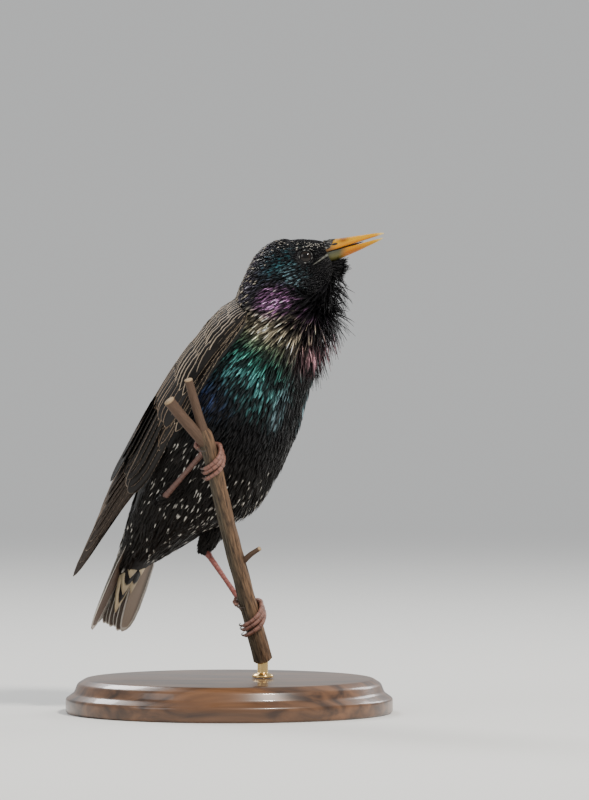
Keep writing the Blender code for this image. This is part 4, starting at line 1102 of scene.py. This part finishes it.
def add_vane_group(coat, hand, shelf, row):
    """One tier of a wing's feathers."""
    key, count, *pairs = row
    share = np.linspace(0, 1, count)[:, None]
    start_down, start_across, tip_down, tip_across, width, lift = (blend(*pair, share) for pair in pairs)
    tip_down = tip_down + rng.normal(0, 0.5, count)[:, None]
    down, across = blend(start_down, tip_down, coat.t), blend(start_across, tip_across, coat.t)
    raised = np.minimum(coat.t / ROOT_SHARE, 1)
    line = wing_spot(down, across, hand, blend(ROOT_LIFT, lift, raised))
    ahead = down + 0.02 * (tip_down - start_down), across + 0.02 * (tip_across - start_across)
    ground = BROWN_BLACK[None] * rng.uniform(0.8, 1.5, count)[:, None]
    if start_down.min() > PRIMARIES_FROM:
        ground = ground + PRIMARY_BROWN
    wide = rng.uniform(0.6, 1.25, count)
    fringe = [side * wide for side in FRINGES[key]]
    coat.shape(
        line,
        unit(wing_spot(*ahead, hand) - wing_spot(down, across, hand)),
        wing_normal(down, across, hand),
        np.linalg.norm(np.diff(line, axis=1), axis=2).sum(axis=1),
        width[:, 0] * rng.uniform(0.92, 1.08, count),
        roll=-WING_TILT * hand + rng.normal(0, 2.5, count),
        web=-VANE_WEB * hand if key == "vane" else 0.0,
        cup=0.12,
        thick=0.16,
        fringe=fringe if hand < 0 else fringe[::-1],
        trim=TRIMS[key],
        paint=with_alpha(ground, 0.2)[:, None, None],
        place=patches(0.655 if hand > 0 else 0.83, 0.0105, 0.03 + 0.05 * shelf, count),
        patch=(0.009, 0.045),
    )


def build_wing(name, hand):
    glossy, dull = plumage("vanes_" + name, 0.38, True, 0.22), plumage("small_" + name, 0.6, True, 0.08)
    coats = {key: Coat(f"{name}_{key}s", key, True) for key in FRINGES}
    for shelf, row in enumerate(VANE_GROUPS):
        add_vane_group(coats[row[0]], hand, shelf, row)
    for key, coat in coats.items():
        coat.finish(dull if key == "lance" else glossy, name)


# Tail, as in the solids

TAIL_ROOT = np.array((-42.6, 18.9, 59.8))
TAIL_DOWN = unit(np.array((-0.348, 0.201, -0.916)))
TAIL_ROLL = math.radians(10)
TAIL_TIP = 28.8
TAIL_SPREAD = 9.4
RECTRICES = 6
RECTRIX_ROOT = -14.0
RECTRIX_WIDTH = 9.0
RECTRIX_TOP = np.array((0.02, 0.016, 0.013, 0.1))
RECTRIX_BELOW = {1: np.array((0.13, 0.09, 0.068, 0.0)), -1: np.array((0.34, 0.28, 0.23, 0.0))}
RECTRIX_TRIM = (0.78, 0.73, 0.66)
COVERT_ROOT = -21.0
COVERT_GROUND = np.append(BLACK * 1.2, 0.2)
UNDERTAIL = (
    # how far the tips reach, how many, across, width, depth at root and tip, fringe
    (-15.0, 7, 8.6, 4.4, (-9.2, -8.8), 0.5),
    (-10.0, 6, 7.4, 5.4, (-8.9, -8.4), 0.7),
    (-4.5, 3, 5.0, 8.4, (-8.5, -7.8), 1.0),
    (2.0, 2, 3.2, 10.6, (-8.0, -7.0), 1.3),
    (10.5, 2, 2.4, 11.4, (-7.0, -6.0), 1.5),
    (20.5, 1, 0.4, 11.0, (-5.2, -3.8), 1.5),
)
UPPERTAIL = (
    (-8.0, 6, 5.6, 6.0, (2.2, 2.4), 0.4),
    (-2.0, 5, 5.0, 6.4, (2.0, 2.1), 0.5),
    (5.0, 4, 4.2, 7.0, (1.8, 1.7), 0.5),
)
CREAM_TRIM = (0.72, 0.6, 0.4)
level = unit(RIGHT - TAIL_DOWN * (RIGHT @ TAIL_DOWN))
TAIL_SIDE = level * math.cos(TAIL_ROLL) + np.cross(level, -TAIL_DOWN) * math.sin(TAIL_ROLL)
TAIL_DORSAL = unit(np.cross(TAIL_SIDE, -TAIL_DOWN))


def tail_line(down, across, back):
    down, across, back = (part[..., None] for part in np.broadcast_arrays(down, across, back))
    return TAIL_ROOT + TAIL_DOWN * down + TAIL_SIDE * across + TAIL_DORSAL * back


def leaning(lean):
    """Way up of tail feathers that lean sideways."""
    return (TAIL_DORSAL * np.cos(lean)[:, None] + TAIL_SIDE * np.sin(lean)[:, None])[:, None]


def build_tail_vanes(material):
    coat = Coat("tail_vanes", "vane", True)
    number = np.arange(RECTRICES)
    share = number / (RECTRICES - 1)
    outermost = share > 0.9
    pale = coat.under[:, None] * (0.45 + 0.55 * outermost[:, None, None, None])
    for hand in (1, -1):
        reach = TAIL_TIP - 1.6 * (1 - share) + rng.normal(0, 0.2, RECTRICES)
        down = blend(RECTRIX_ROOT, reach[:, None], coat.t)
        across = hand * blend(1.6, TAIL_SPREAD, share)[:, None] * (0.55 + 0.45 * coat.t)
        back = 1.5 - 0.55 * number - 0.3 * (hand < 0) - 1.6 * share**2
        line = tail_line(down, across, back[:, None])
        fringe = [np.where(outermost, 1.3, 0.5), np.where(outermost, 0.9, 0.4)]
        coat.shape(
            line,
            unit(np.gradient(line, axis=1)),
            leaning(np.radians(5.0 + 9.0 * share) * hand),
            reach - RECTRIX_ROOT,
            RECTRIX_WIDTH,
            web=0.25 * hand,
            cup=0.08,
            thick=0.16,
            fringe=fringe if hand < 0 else fringe[::-1],
            trim=RECTRIX_TRIM,
            tip_trim=0.6,
            paint=blend(RECTRIX_TOP, RECTRIX_BELOW[hand], pale),
            place=patches(0.66 if hand > 0 else 0.82, 0.012, 0.985, RECTRICES),
            patch=(0.02, 0.1),
        )
    coat.finish(material, "tail")


def build_tail_coverts(material):
    coat = Coat("tail_coverts", "lance", True)
    for tiers, sign in ((UNDERTAIL, -1.0), (UPPERTAIL, 1.0)):
        for reach, count, spread, width, depth, fringe in tiers:
            across = spread * (np.linspace(-1, 1, count) if count > 1 else np.zeros(1))
            down = blend(COVERT_ROOT, reach + rng.normal(0, 0.6, count)[:, None], coat.t)
            line = tail_line(down, across[:, None] * (0.6 + 0.4 * coat.t), blend(*depth, coat.t))
            coat.shape(
                line,
                unit(np.gradient(line, axis=1)),
                leaning(across * 0.05 * sign) * sign,
                reach - COVERT_ROOT,
                width,
                cup=0.3,
                thick=0.16,
                fringe=(fringe, fringe),
                trim=CREAM_TRIM if sign < 0 else TRIMS["lance"],
                tip_trim=0.35,
                paint=COVERT_GROUND,
                place=patches(0.66, 0.01, 0.93, count),
                patch=(0.01, 0.03),
            )
    coat.finish(material, "tail")


def build_tail():
    material = plumage("vanes_tail", 0.42, True)
    build_tail_vanes(material)
    build_tail_coverts(material)


# Bill

BILL_LENGTH = 23.5
LOWER_BILL_SHORTER = 1.0
BILL_RISE = math.radians(16.5)
BILL_TURN = math.radians(10)
BILL_OPEN = math.radians(2.6)
GAP = 0.3
BILL_PROFILE = np.array(
    (
        # share of the length, half width, height of the upper half, depth of the lower half
        (-0.2, 4.0, 4.2, 3.6),
        (0.0, 4.1, 4.25, 3.95),
        (0.12, 3.6, 4.05, 3.7),
        (0.3, 2.75, 3.45, 3.2),
        (0.5, 2.05, 2.75, 2.6),
        (0.7, 1.5, 2.0, 1.85),
        (0.87, 1.0, 1.3, 1.15),
        (0.96, 0.66, 0.8, 0.72),
        (1.0, 0.3, 0.35, 0.32),
    )
)
BILL_FILL = 0.96
# The inner face of each half of the bill: shares of the half width across it and into it
PALATE = np.array(((0.7, 0.1), (0.35, 0.18), (0.0, 0.2), (-0.35, 0.18), (-0.7, 0.1)))
YELLOW, ORANGE = np.array((0.56, 0.27, 0.001)), np.array((0.44, 0.125, 0.0))
HORN, RUST = np.array((0.62, 0.46, 0.16)), np.array((0.17, 0.035, 0.006))
GREY, OLIVE = np.array((0.045, 0.05, 0.038)), np.array((0.17, 0.155, 0.045))
PALATE_RED = np.array((0.2, 0.03, 0.02))
# Near-black red: the mouth's lining, with painted shade inside the open mouth
MOUTH_SHADE_COLOUR = (0.035, 0.008, 0.006)
NASAL_COUNT = 760
NASAL_TURN = 1.35
NASAL_GREY = np.array((0.16, 0.155, 0.14))
GAPE_SIDES = 10
GAPE_TURNS = ((0, 96), (0.5, 97.5), (1, 98))
GAPE_ENDS = (0.2, 6.8)
GAPE_SIZES = ((0, 0.5), (0.3, 0.42), (1, 0.1))
GAPE_GREY = np.array((0.11, 0.11, 0.09))
# Near black: painted shade inside each nostril's opening
NOSTRIL_SHADE_COLOUR = (0.012, 0.009, 0.008)
NOSTRIL_AT = (3.5, 3.05, 2.25)
NOSTRIL_RADII = (1.35, 0.42, 0.5)


def bill_frame():
    """The bill's base, and the ways along it, to its right and up."""
    row, _, right, _ = section(np.array([0.0]))
    level_way = np.array((math.cos(BILL_TURN), -math.sin(BILL_TURN), 0.0))
    forward = unit(level_way * math.cos(BILL_RISE) + np.array((0, 0, 1)) * math.sin(BILL_RISE))
    return row[0, :3], forward, right[0], np.cross(right[0], forward)


BILL_BASE, BILL_WAY, BILL_RIGHT, BILL_UP = bill_frame()


def bill_keel(turn):
    """How the bill's back is raised along its middle."""
    return 0.1 * bump(0, 0.35, turn)


def bill_tint(share, height, above):
    """Horn colours along the bill, with height from 0 at the biting edge to 1 at its back."""
    share, height = share[..., None], height[..., None]
    if above:
        tint = blend(YELLOW, ORANGE, (1 - smoothstep(0.1, 0.5, height)) * 0.7)
        tint = blend(tint, RUST, bump(0.3, 0.09, share) * smoothstep(0.2, 0.7, height) * 0.8)
        tint = blend(tint, GREY, (1 - smoothstep(0.02, 0.2, share)) * 0.75)
    else:
        tint = blend(ORANGE, YELLOW, smoothstep(0.45, 0.9, share))
        tint = blend(tint, YELLOW, (1 - smoothstep(0.2, 0.6, height)) * 0.5)
        base = 1 - smoothstep(0.2, 0.42, share + 0.1 * height)
        tint = blend(tint, OLIVE + (GREY - OLIVE) * (1 - height), base)
    return blend(tint, HORN, smoothstep(0.84, 0.99, share))


def build_mandible(name, above, length):
    sign = 1 if above else -1
    tilt = BILL_OPEN / 2 * sign
    way = BILL_WAY * math.cos(tilt) + BILL_UP * math.sin(tilt)
    rise = np.cross(BILL_RIGHT, way) * sign
    share = np.concatenate([np.linspace(-0.2, 0.84, 34), np.linspace(0.86, 1.0, 14)])
    half, upper, lower = through(BILL_PROFILE[:, 0], BILL_PROFILE[:, 1:], share).T[..., None]
    turn = np.radians(np.linspace(0, 180, 25))
    middle = BILL_BASE + BILL_WAY * GAP + way * (length * share)[:, None] + rise * GAP / 2
    keel = 1 + bill_keel(turn - math.pi / 2) * (1 - share)[:, None]
    back = np.sin(turn) ** 0.85 * keel * BILL_FILL * (upper if above else lower)
    across = np.concatenate([-half * np.cos(turn), half * PALATE[:, 0]], axis=1)
    high = np.concatenate([back, half * PALATE[:, 1]], axis=1)
    rings = middle[:, None] + BILL_RIGHT * across[..., None] + rise * high[..., None]
    obj = loft(name.replace("bill", "horn"), rings)
    inside = np.append(np.zeros(len(turn)), np.ones(len(PALATE)))
    level_up = np.broadcast_to(np.append(np.sin(turn), np.zeros(len(PALATE))), across.shape)
    tint = bill_tint(np.broadcast_to(share[:, None], across.shape), level_up, above)
    paint_points(obj, blend(tint, PALATE_RED, inside[:, None]))
    fit(obj, tinted("horn_" + name, 0.36, 260.0, 0.25, 0.35, 0.22), "bill", name)


def build_mouth():
    """The mouth's lining between the halves of the bill, towards the gape, painted near black as the shade
    inside the open mouth.
    """
    share = np.linspace(-0.2, 0.62, 30)
    half = through(BILL_PROFILE[:, 0], BILL_PROFILE[:, 1:2], share)[..., None] * 0.86
    thick = graph(((-0.2, 0.55), (0.4, 0.5), (0.62, 0.1)), share)[:, None, None]
    middle = BILL_BASE + BILL_WAY * (share * BILL_LENGTH)[:, None]
    obj = loft("mouth", middle[:, None] + circle(BILL_RIGHT * half, BILL_UP * thick, full_turn(16)))
    fit(obj, plain_material("mouth", MOUTH_SHADE_COLOUR, 0.5), "bill", "bill_lower")


def build_bill_base_feathers():
    """Tiny feathers over the root of the bill's upper half, reaching its nostrils."""
    turn = rng.normal(0, 0.75, NASAL_COUNT)
    turn = turn[np.abs(turn) < NASAL_TURN]
    count = len(turn)
    reach = (0.16 - 0.1 * (np.abs(turn) / NASAL_TURN) ** 1.3) * rng.uniform(0.0, 1.0, count) ** 0.6
    half, height = (np.interp(reach, BILL_PROFILE[:, 0], BILL_PROFILE[:, k]) for k in (1, 2))
    height = height * BILL_FILL * (1 + bill_keel(turn)) * np.cos(turn) ** 0.85 + 0.25
    root = BILL_BASE + BILL_WAY * (GAP + BILL_LENGTH * reach)[:, None]
    root = root + BILL_RIGHT * ((half + 0.05) * np.sin(turn))[:, None] + BILL_UP * height[:, None]
    shade = BLACK * rng.uniform(0.6, 2.2, count)[:, None]
    shade = shade + (rng.random(count) < 0.2)[:, None] * NASAL_GREY
    coat = Coat("nasal_coat", "contour")
    coat.add(
        root,
        rng.normal(0, 0.12, (count, 3)) - BILL_WAY,
        circle(BILL_UP, BILL_RIGHT, turn),
        rng.uniform(1.3, 2.2, count),
        0.5,
        rise=12 + rng.normal(0, 4, count),
        curl=-14,
        place=body_patch(0 * turn, np.degrees(turn)),
        paint=with_alpha(shade, 0.0)[:, None, None],
    )
    coat.finish(plumage("coat_nasal", 0.4), "head")


def build_gape():
    """The pale bare line that runs back from the corner of the mouth under the eye."""
    skin = tinted("gape_skin", 0.5, 900.0, 0.5)
    share = np.linspace(0, 1, 40)
    turn, size = graph(GAPE_TURNS, share), graph(GAPE_SIZES, share)
    for name in EYES:
        line = body(blend(*GAPE_ENDS, share), turn if name == "right" else 360 - turn, 0.1)
        obj, far = tube("gape_" + name, line, size, GAPE_SIDES, rounded=True)
        paint_points(obj, GAPE_GREY * (0.35 + 0.65 * np.sin(far * 1.6) ** 2)[:, None])
        fit(obj, skin, "bill", "head")


def build_nostrils():
    # The nostrils are dark bodies on the bill, and their near black is painted shade inside each opening
    made = plain_material("nostril", NOSTRIL_SHADE_COLOUR, 0.7)
    long, thick, high = NOSTRIL_RADII
    out = np.linspace(-1, 1, 9)[:, None, None]
    ring = circle(BILL_WAY * long, BILL_UP * high, full_turn(20)) * np.sqrt(np.maximum(1 - out**2, 0.02))
    for side, name in zip((1, -1), EYES):
        ahead, beside, up = NOSTRIL_AT
        centre = BILL_BASE + BILL_WAY * ahead + BILL_UP * up + BILL_RIGHT * beside * side
        obj = loft("nostril_" + name, centre + BILL_RIGHT * side * thick * out + ring)
        fit(obj, made, "bill", "bill_upper")


# Eyes

PUPIL = np.array((0.004, 0.003, 0.003))
IRIS = np.array((0.008, 0.004, 0.002))
LID_OPENING = 2.62
LID_THICK = 0.2
LID_SIDES, LID_ROUND = 72, 10
LID_DARK = np.array((0.012, 0.012, 0.013))
LID_PALE = np.array((0.16, 0.16, 0.15))


def build_lid(name, centre, look, material):
    """The ring of tiny beads round an eye."""
    turn, minor = full_turn(LID_SIDES), full_turn(LID_ROUND)
    first = unit(np.cross(look, (0.1, 0.2, 0.97)))
    around = circle(first, np.cross(look, first), turn)
    bead = LID_THICK * (1 + 0.25 * np.sin(turn * 14 + 2 * np.sin(turn * 3)))[:, None]
    verts = centre + look * (EYE_RADIUS - EYE_SHOWS) + look * (bead * np.sin(minor))[..., None]
    verts = verts + around[:, None] * (LID_OPENING + bead * np.cos(minor))[..., None]
    faces = ring_faces(LID_SIDES + 1, LID_ROUND)[0] % (LID_SIDES * LID_ROUND)
    lid = make_mesh("lid_" + name, verts, [faces])
    pale = smoothstep(0.1, 1.1, np.sin(turn * 9) + 0.7 * np.sin(turn * 4 + 1))
    paint_points(lid, LID_DARK + pale[:, None] * LID_PALE)
    fit(lid, material, "plumage", "head")


def build_eyes():
    glass = tinted("eye_glass", 0.05, 200.0, 0.0, 0.05, 0.28)
    lid_skin = tinted("lid", 0.6, 900.0, 0.6, 0.35, 0.2)
    for name, (centre, look) in EYES.items():
        obj, polar = ball("eyeball_" + name, centre, EYE_RADIUS, look)
        iris = smoothstep(0.34, 0.4, polar) * (1 - smoothstep(0.62, 0.7, polar))
        paint_points(obj, PUPIL + iris[:, None] * IRIS)
        fit(obj, glass, "eye", "eye_" + name)
        build_lid(name, centre, look, lid_skin)


# Perch, as in the solids

BRANCH = np.array(
    (
        # centre line from the lower cut upwards, with the branch's radius
        (13.7, 0.9, 21.9, 3.9),
        (12.0, -2.6, 29.0, 3.8),
        (9.8, -6.3, 37.7, 3.7),
        (5.4, -13.2, 54.0, 3.5),
        (1.0, -21.0, 71.5, 3.4),
        (-3.2, -29.0, 89.5, 3.3),
        (-6.9, -36.1, 105.5, 3.2),
        (-9.6, -40.4, 115.0, 3.1),
        (-10.5, -41.9, 117.8, 1.9),
    )
)
TWIGS = {
    "twig": (
        (-9.2, -39.6, 113.4, 2.5),
        (-11.6, -43.2, 121.5, 1.9),
        (-14.0, -46.4, 130.0, 1.8),
        (-16.2, -49.2, 138.0, 1.7),
    ),
    "side_twig": (
        (-8.6, -38.6, 111.0, 2.6),
        (-14.4, -43.0, 117.6, 2.4),
        (-19.8, -46.4, 124.0, 2.3),
        (-24.0, -49.0, 129.5, 2.3),
    ),
    "stub": ((4.2, -15.6, 61.0, 1.4), (8.4, -19.6, 65.4, 1.1), (12.6, -22.6, 68.4, 0.9)),
}
PERCH_STEP = 0.5
BRANCH_SIDES, TWIG_SIDES = 64, 32
BRANCH_GRAIN, TWIG_GRAIN = 0.16, 0.3
GRAIN_ROUND = 5.0
SUNNY_BROWN, SHADY_OLIVE = np.array((0.14, 0.083, 0.047)), np.array((0.062, 0.051, 0.033))
TWIG_TAN, CUT_WOOD = np.array((0.085, 0.05, 0.031)), np.array((0.36, 0.26, 0.15))
KNOT_AT, KNOT_WIDTH = 47, 2.5
BARKS = {
    # dark and light of the grain, and the strength of its relief
    "bark": ((0.16, 0.13, 0.11, 1), (1.5, 1.4, 1.25, 1), 0.9),
    "twig_bark": ((0.7, 0.65, 0.6, 1), (1.15, 1.1, 1.05, 1), 0.35),
}


def bark_relief(far, turn):
    ridges = 0.05 * np.sin(5 * turn + 0.07 * far) * np.sin(0.21 * far + 2 * turn)
    ridges = ridges + 0.035 * np.sin(11 * turn + 1.3 * np.sin(0.13 * far))
    ridges = ridges + 0.03 * np.sin(0.37 * far + turn)
    knot = 0.1 * bump(KNOT_AT, KNOT_WIDTH, far) * np.maximum(np.cos(turn - 0.6), 0)
    return 0.985 + ridges * 0.7 + knot


def bark_material(name):
    dark, light, relief = BARKS[name]
    look = Look(name)
    grain = {"Vector": look.value("grain", "Vector"), "Scale": 1.0, "Detail": 10.0, "Roughness": 0.65}
    noise = look.node("TexNoise", grain, "Fac")
    ramp = look.ramp(noise, (0.36, dark), (0.62, light))
    colour = look.mix(look.value("tint", "Color"), ramp, 1.0, blend_type="MULTIPLY")
    normal = look.relief(noise, relief, 0.0006)
    return look.finish({"Base Color": colour, "Normal": normal, "Roughness": 0.78})


def build_perch():
    rough, fine = bark_material("bark"), bark_material("twig_bark")
    for name, rows in {"branch": BRANCH, **TWIGS}.items():
        main = name == "branch"
        sides, grain_step = (BRANCH_SIDES, BRANCH_GRAIN) if main else (TWIG_SIDES, TWIG_GRAIN)
        rows = np.asarray(rows)
        far = distances(rows[:, :3])
        rows = through(far, rows, np.linspace(0, far[-1], max(8, int(far[-1] / PERCH_STEP))))
        obj, far = tube(name, rows[:, :3], rows[:, 3], sides, bark_relief if main else None)
        points = points_of(obj).reshape(len(rows), sides, 3)
        out = unit(points - rows[:, None, :3])
        sunny = np.clip(out[..., 0] * 0.8 + 0.45, 0, 1)[..., None]
        tint = blend(SHADY_OLIVE, SUNNY_BROWN, sunny) if main else np.broadcast_to(TWIG_TAN, out.shape)
        cut = np.zeros((len(rows), 1, 1))
        cut[0 if main else -1] = 1.0
        paint_points(obj, blend(tint, CUT_WOOD, cut))
        turn = full_turn(sides)
        grain = (np.cos(turn) * GRAIN_ROUND, np.sin(turn) * GRAIN_ROUND, far[:, None] * grain_step)
        point_values(obj, "grain", np.stack(np.broadcast_arrays(*grain), axis=-1))
        fit(obj, rough if main else fine, "bark", "perch")


# Legs and feet, as in the solids

PALM_AWAY = 2.3
PALM_RADIUS = 2.25
TOE_RADIUS = 1.0
TOE_AWAY = 0.22
CLAW_RADIUS = 0.62
CLAW_AWAY, CLAW_BOW = 0.75, 1.1
CLAW_TIP = 0.12
PALM_TURN = -110.0
TOES = (
    # turn at the tip, rise at the palm, at the far right and at the tip, claw length
    (142.0, 1.8, 2.1, -3.7, 5.0),
    (158.0, 0.1, 0.0, -5.8, 6.0),
    (150.0, -1.5, -2.1, -8.0, 5.0),
    (-200.0, 1.8, 5.0, 4.6, 4.6),
)
TARSUS_RADII = ((0.0, 1.7), (0.06, 1.6), (0.16, 1.2), (0.55, 1.0), (0.82, 1.15), (0.93, 1.35))
TOE_SCUTE, TARSUS_SCUTE = 1.0, 2.2
LEG_PINK = np.array((0.22, 0.1, 0.072))
# Painted light: the right, near tarsus is darkened and browned as if in shade, and the left, far one is made
# redder as if lit by the sun
TARSUS_SHADE_AND_SUN_TINTS = {"right": np.array((0.13, 0.06, 0.044)), "left": np.array((0.22, 0.055, 0.04))}
CLAW_ROOT_TINT, CLAW_TIP_TINT = np.array((0.1, 0.065, 0.05)), np.array((0.03, 0.024, 0.022))
FRONT = np.array((0.0, -1.0, 0.0))
BRANCH_FOOT = 21.0


def round_branch(height, turn, away):
    """Points beside the branch. Turn 0 is to the right, 90 is the viewer's side, 180 the left."""
    height, turn, away = np.broadcast_arrays(height, turn, away)
    heights = np.append(BRANCH_FOOT, BRANCH[1:, 2])

    def at(level_at):
        flat = [np.interp(level_at, heights, BRANCH[:, k]) for k in range(2)]
        return np.stack(flat + [level_at], axis=-1)

    way = unit(at(height + 4.0) - at(height - 4.0))
    front = unit(FRONT - way * (way @ FRONT)[..., None])
    right = -np.cross(way, front)
    right = right * np.sign(right[..., :1])
    radius = np.interp(height, heights, BRANCH[:, 3])
    return at(height) + circle(right, front, np.radians(turn)) * (radius + away)[..., None]


def scuted(step, depth):
    """Relief of overlapping scutes, one every step along a limb."""

    def relief(far, _):
        saw = np.mod(far / step, 1.0)
        return 1.0 + depth * (0.5 - saw) * smoothstep(0.0, 0.12, saw)

    return relief


def scute_tint(colour, far, step, middle, widths, depth):
    """A limb's colour, darker in the grooves between its scutes."""
    saw = np.mod(far / step, 1.0)
    dark = bump(middle, widths[0], saw) + bump(1.0, widths[1], saw)
    return colour * (1 - depth * dark)[:, None]


def build_claw(name, node, height, tip_turn, length, root, horn):
    """A claw that carries a toe's line on round the branch."""
    tip_sign = 1 if tip_turn > PALM_TURN else -1
    around = float(np.interp(height, BRANCH[:, 2], BRANCH[:, 3]))
    sweep = math.degrees(length / (around + 1.6))
    part = np.linspace(0, 1, 24)
    bow = GAP + CLAW_AWAY + CLAW_BOW * np.sin(math.pi * part * 0.8) - 0.1 * part
    nail = round_branch(height - 0.6 * part, tip_turn + tip_sign * sweep * part, bow)
    size = blend(TOE_RADIUS * CLAW_RADIUS, CLAW_TIP, part[2:])
    size = np.concatenate([[TOE_RADIUS * 0.6] * len(root), size])
    obj, _ = tube(name, np.concatenate([root, nail[2:]]), size, 16)
    paint_points(obj, blend(CLAW_ROOT_TINT, CLAW_TIP_TINT, np.linspace(0, 1, len(size))[:, None]))
    fit(obj, horn, "leg", node)


def build_toe(name, node, height, row, skin, horn):
    tip_turn, at_palm, at_side, at_tip, claw = row
    share = np.linspace(0, 1, 60)
    rise = graph(((0, at_palm), (0.4, at_side), (1, at_tip)), share)
    radius = TOE_RADIUS * (1.12 - 0.3 * share) * (1.0 + 0.07 * np.cos(math.tau * 3 * share))
    radius = radius * np.where(share > 0.97, 0.85, 1.0)
    points = round_branch(height + rise, blend(PALM_TURN, tip_turn, share), GAP + TOE_AWAY + radius)
    obj, far = tube(name, points, radius, 24, scuted(TOE_SCUTE, 0.2), True)
    paint_points(obj, scute_tint(LEG_PINK, far, TOE_SCUTE, 0.04, (0.12, 0.1), 0.7))
    fit(obj, skin, "leg", node)
    build_claw(name + "_claw", node, height + at_tip, tip_turn, claw, points[-4:-1], horn)


def build_leg(name):
    hock, height, *_ = FEET[name]
    skin = tinted("leg_skin_" + name, 0.42, 700.0, 0.5, 0.3)
    horn = tinted("claw_horn_" + name, 0.3, 500.0, 0.2, 0.2)
    node = "foot_" + name
    for number, row in enumerate(TOES, 1):
        build_toe(f"toe_{name}_{number}", node, height, row, skin, horn)
    palm = round_branch(np.array(height), PALM_TURN, PALM_AWAY)
    pad, _ = ball("palm_" + name, palm, PALM_RADIUS, unit(palm - hock), 20, 24)
    paint_points(pad, LEG_PINK * 0.8)
    fit(pad, skin, "leg", node)
    share = np.linspace(0.0, 0.93, 110)
    radius = graph(TARSUS_RADII, share)
    shin = blend(np.array(hock), palm, share[:, None])
    obj, far = tube("shin_" + name, shin, radius, 28, scuted(TARSUS_SCUTE, 0.09), True)
    # Each tarsus's tint carries its painted shade or painted sunlight
    paint_points(obj, scute_tint(TARSUS_SHADE_AND_SUN_TINTS[name], far, TARSUS_SCUTE, 0.03, (0.06, 0.05), 0.55))
    fit(obj, skin, "leg", "tarsus_" + name)


# Stand, as in the solids

BASE_PROFILE = ((66.2, 0.0), (67.0, 0.8), (67.0, 6.0), (63.6, 8.4), (62.2, 12.0), (59.0, 14.0))
BASE_BEVEL = 0.8
ROD_PROFILE = ((4.4, 14.3), (4.4, 15.2), (3.6, 15.8), (2.2, 16.3), (2.2, 21.7))
ROD_BEVEL = 0.25
ROD_AT = (13.7, 0.9)
BRASS = (0.75, 0.52, 0.22)
WALNUT_DARK, WALNUT_LIGHT = (0.035, 0.016, 0.008, 1), (0.17, 0.078, 0.034, 1)
WALNUT_STRETCH = (9.0, 70.0, 70.0)
BEVEL_SHARES = (0.0, 0.25, 0.5, 0.75, 1.0)


def turned(name, profile, centre, bevel, sides):
    """A turned solid with its profile's corners slightly rounded."""
    profile = np.array([(0.001, profile[0][1]), *profile, (0.001, profile[-1][1])])
    points = [profile[0]]
    for before, corner, after in zip(profile, profile[1:], profile[2:]):
        a, b = before - corner, after - corner
        cut = min(bevel, np.linalg.norm(a) / 2.2, np.linalg.norm(b) / 2.2)
        first, last = corner + unit(a) * cut, corner + unit(b) * cut
        for share in BEVEL_SHARES:
            points.append(first * (1 - share) ** 2 + corner * 2 * share * (1 - share) + last * share**2)
    points.append(profile[-1])
    radius, height = np.array(points).T[..., None, None]
    x, y, up = np.eye(3)
    return loft(name, x * centre[0] + y * centre[1] + up * height + circle(x, y, full_turn(sides)) * radius)


def wood_material():
    look = Look("walnut")
    place = {"Vector": look.node("TexCoord", {}, "Object"), "Scale": WALNUT_STRETCH}
    grain = {"Vector": look.node("Mapping", place), "Scale": 2.2, "Detail": 8.0, "Distortion": 0.6}
    noise = look.node("TexNoise", grain, "Fac")
    ramp = look.ramp(noise, (0.34, WALNUT_DARK), (0.66, WALNUT_LIGHT))
    return look.finish({"Base Color": ramp, "Roughness": 0.32, "Coat Weight": 0.3})


def build_stand():
    base = turned("base", BASE_PROFILE, (0.0, 0.0), BASE_BEVEL, 160)
    fit(base, wood_material(), "stand_wood", "stand_base")
    rod = turned("rod", ROD_PROFILE, ROD_AT, ROD_BEVEL, 64)
    fit(rod, plain_material("brass", BRASS, 0.24, 1.0), "stand_brass", "stand_rod")


build_camera()
build_floor()
build_lights()
build_skin()
build_body_coat()
build_hackles()
build_thigh_coat()
build_wing("wing_right", 1)
build_wing("wing_left", -1)
build_tail()
build_mandible("bill_upper", True, BILL_LENGTH)
build_mandible("bill_lower", False, BILL_LENGTH - LOWER_BILL_SHORTER)
build_mouth()
build_bill_base_feathers()
build_gape()
build_nostrils()
build_eyes()
build_perch()
build_leg("right")
build_leg("left")
build_stand()
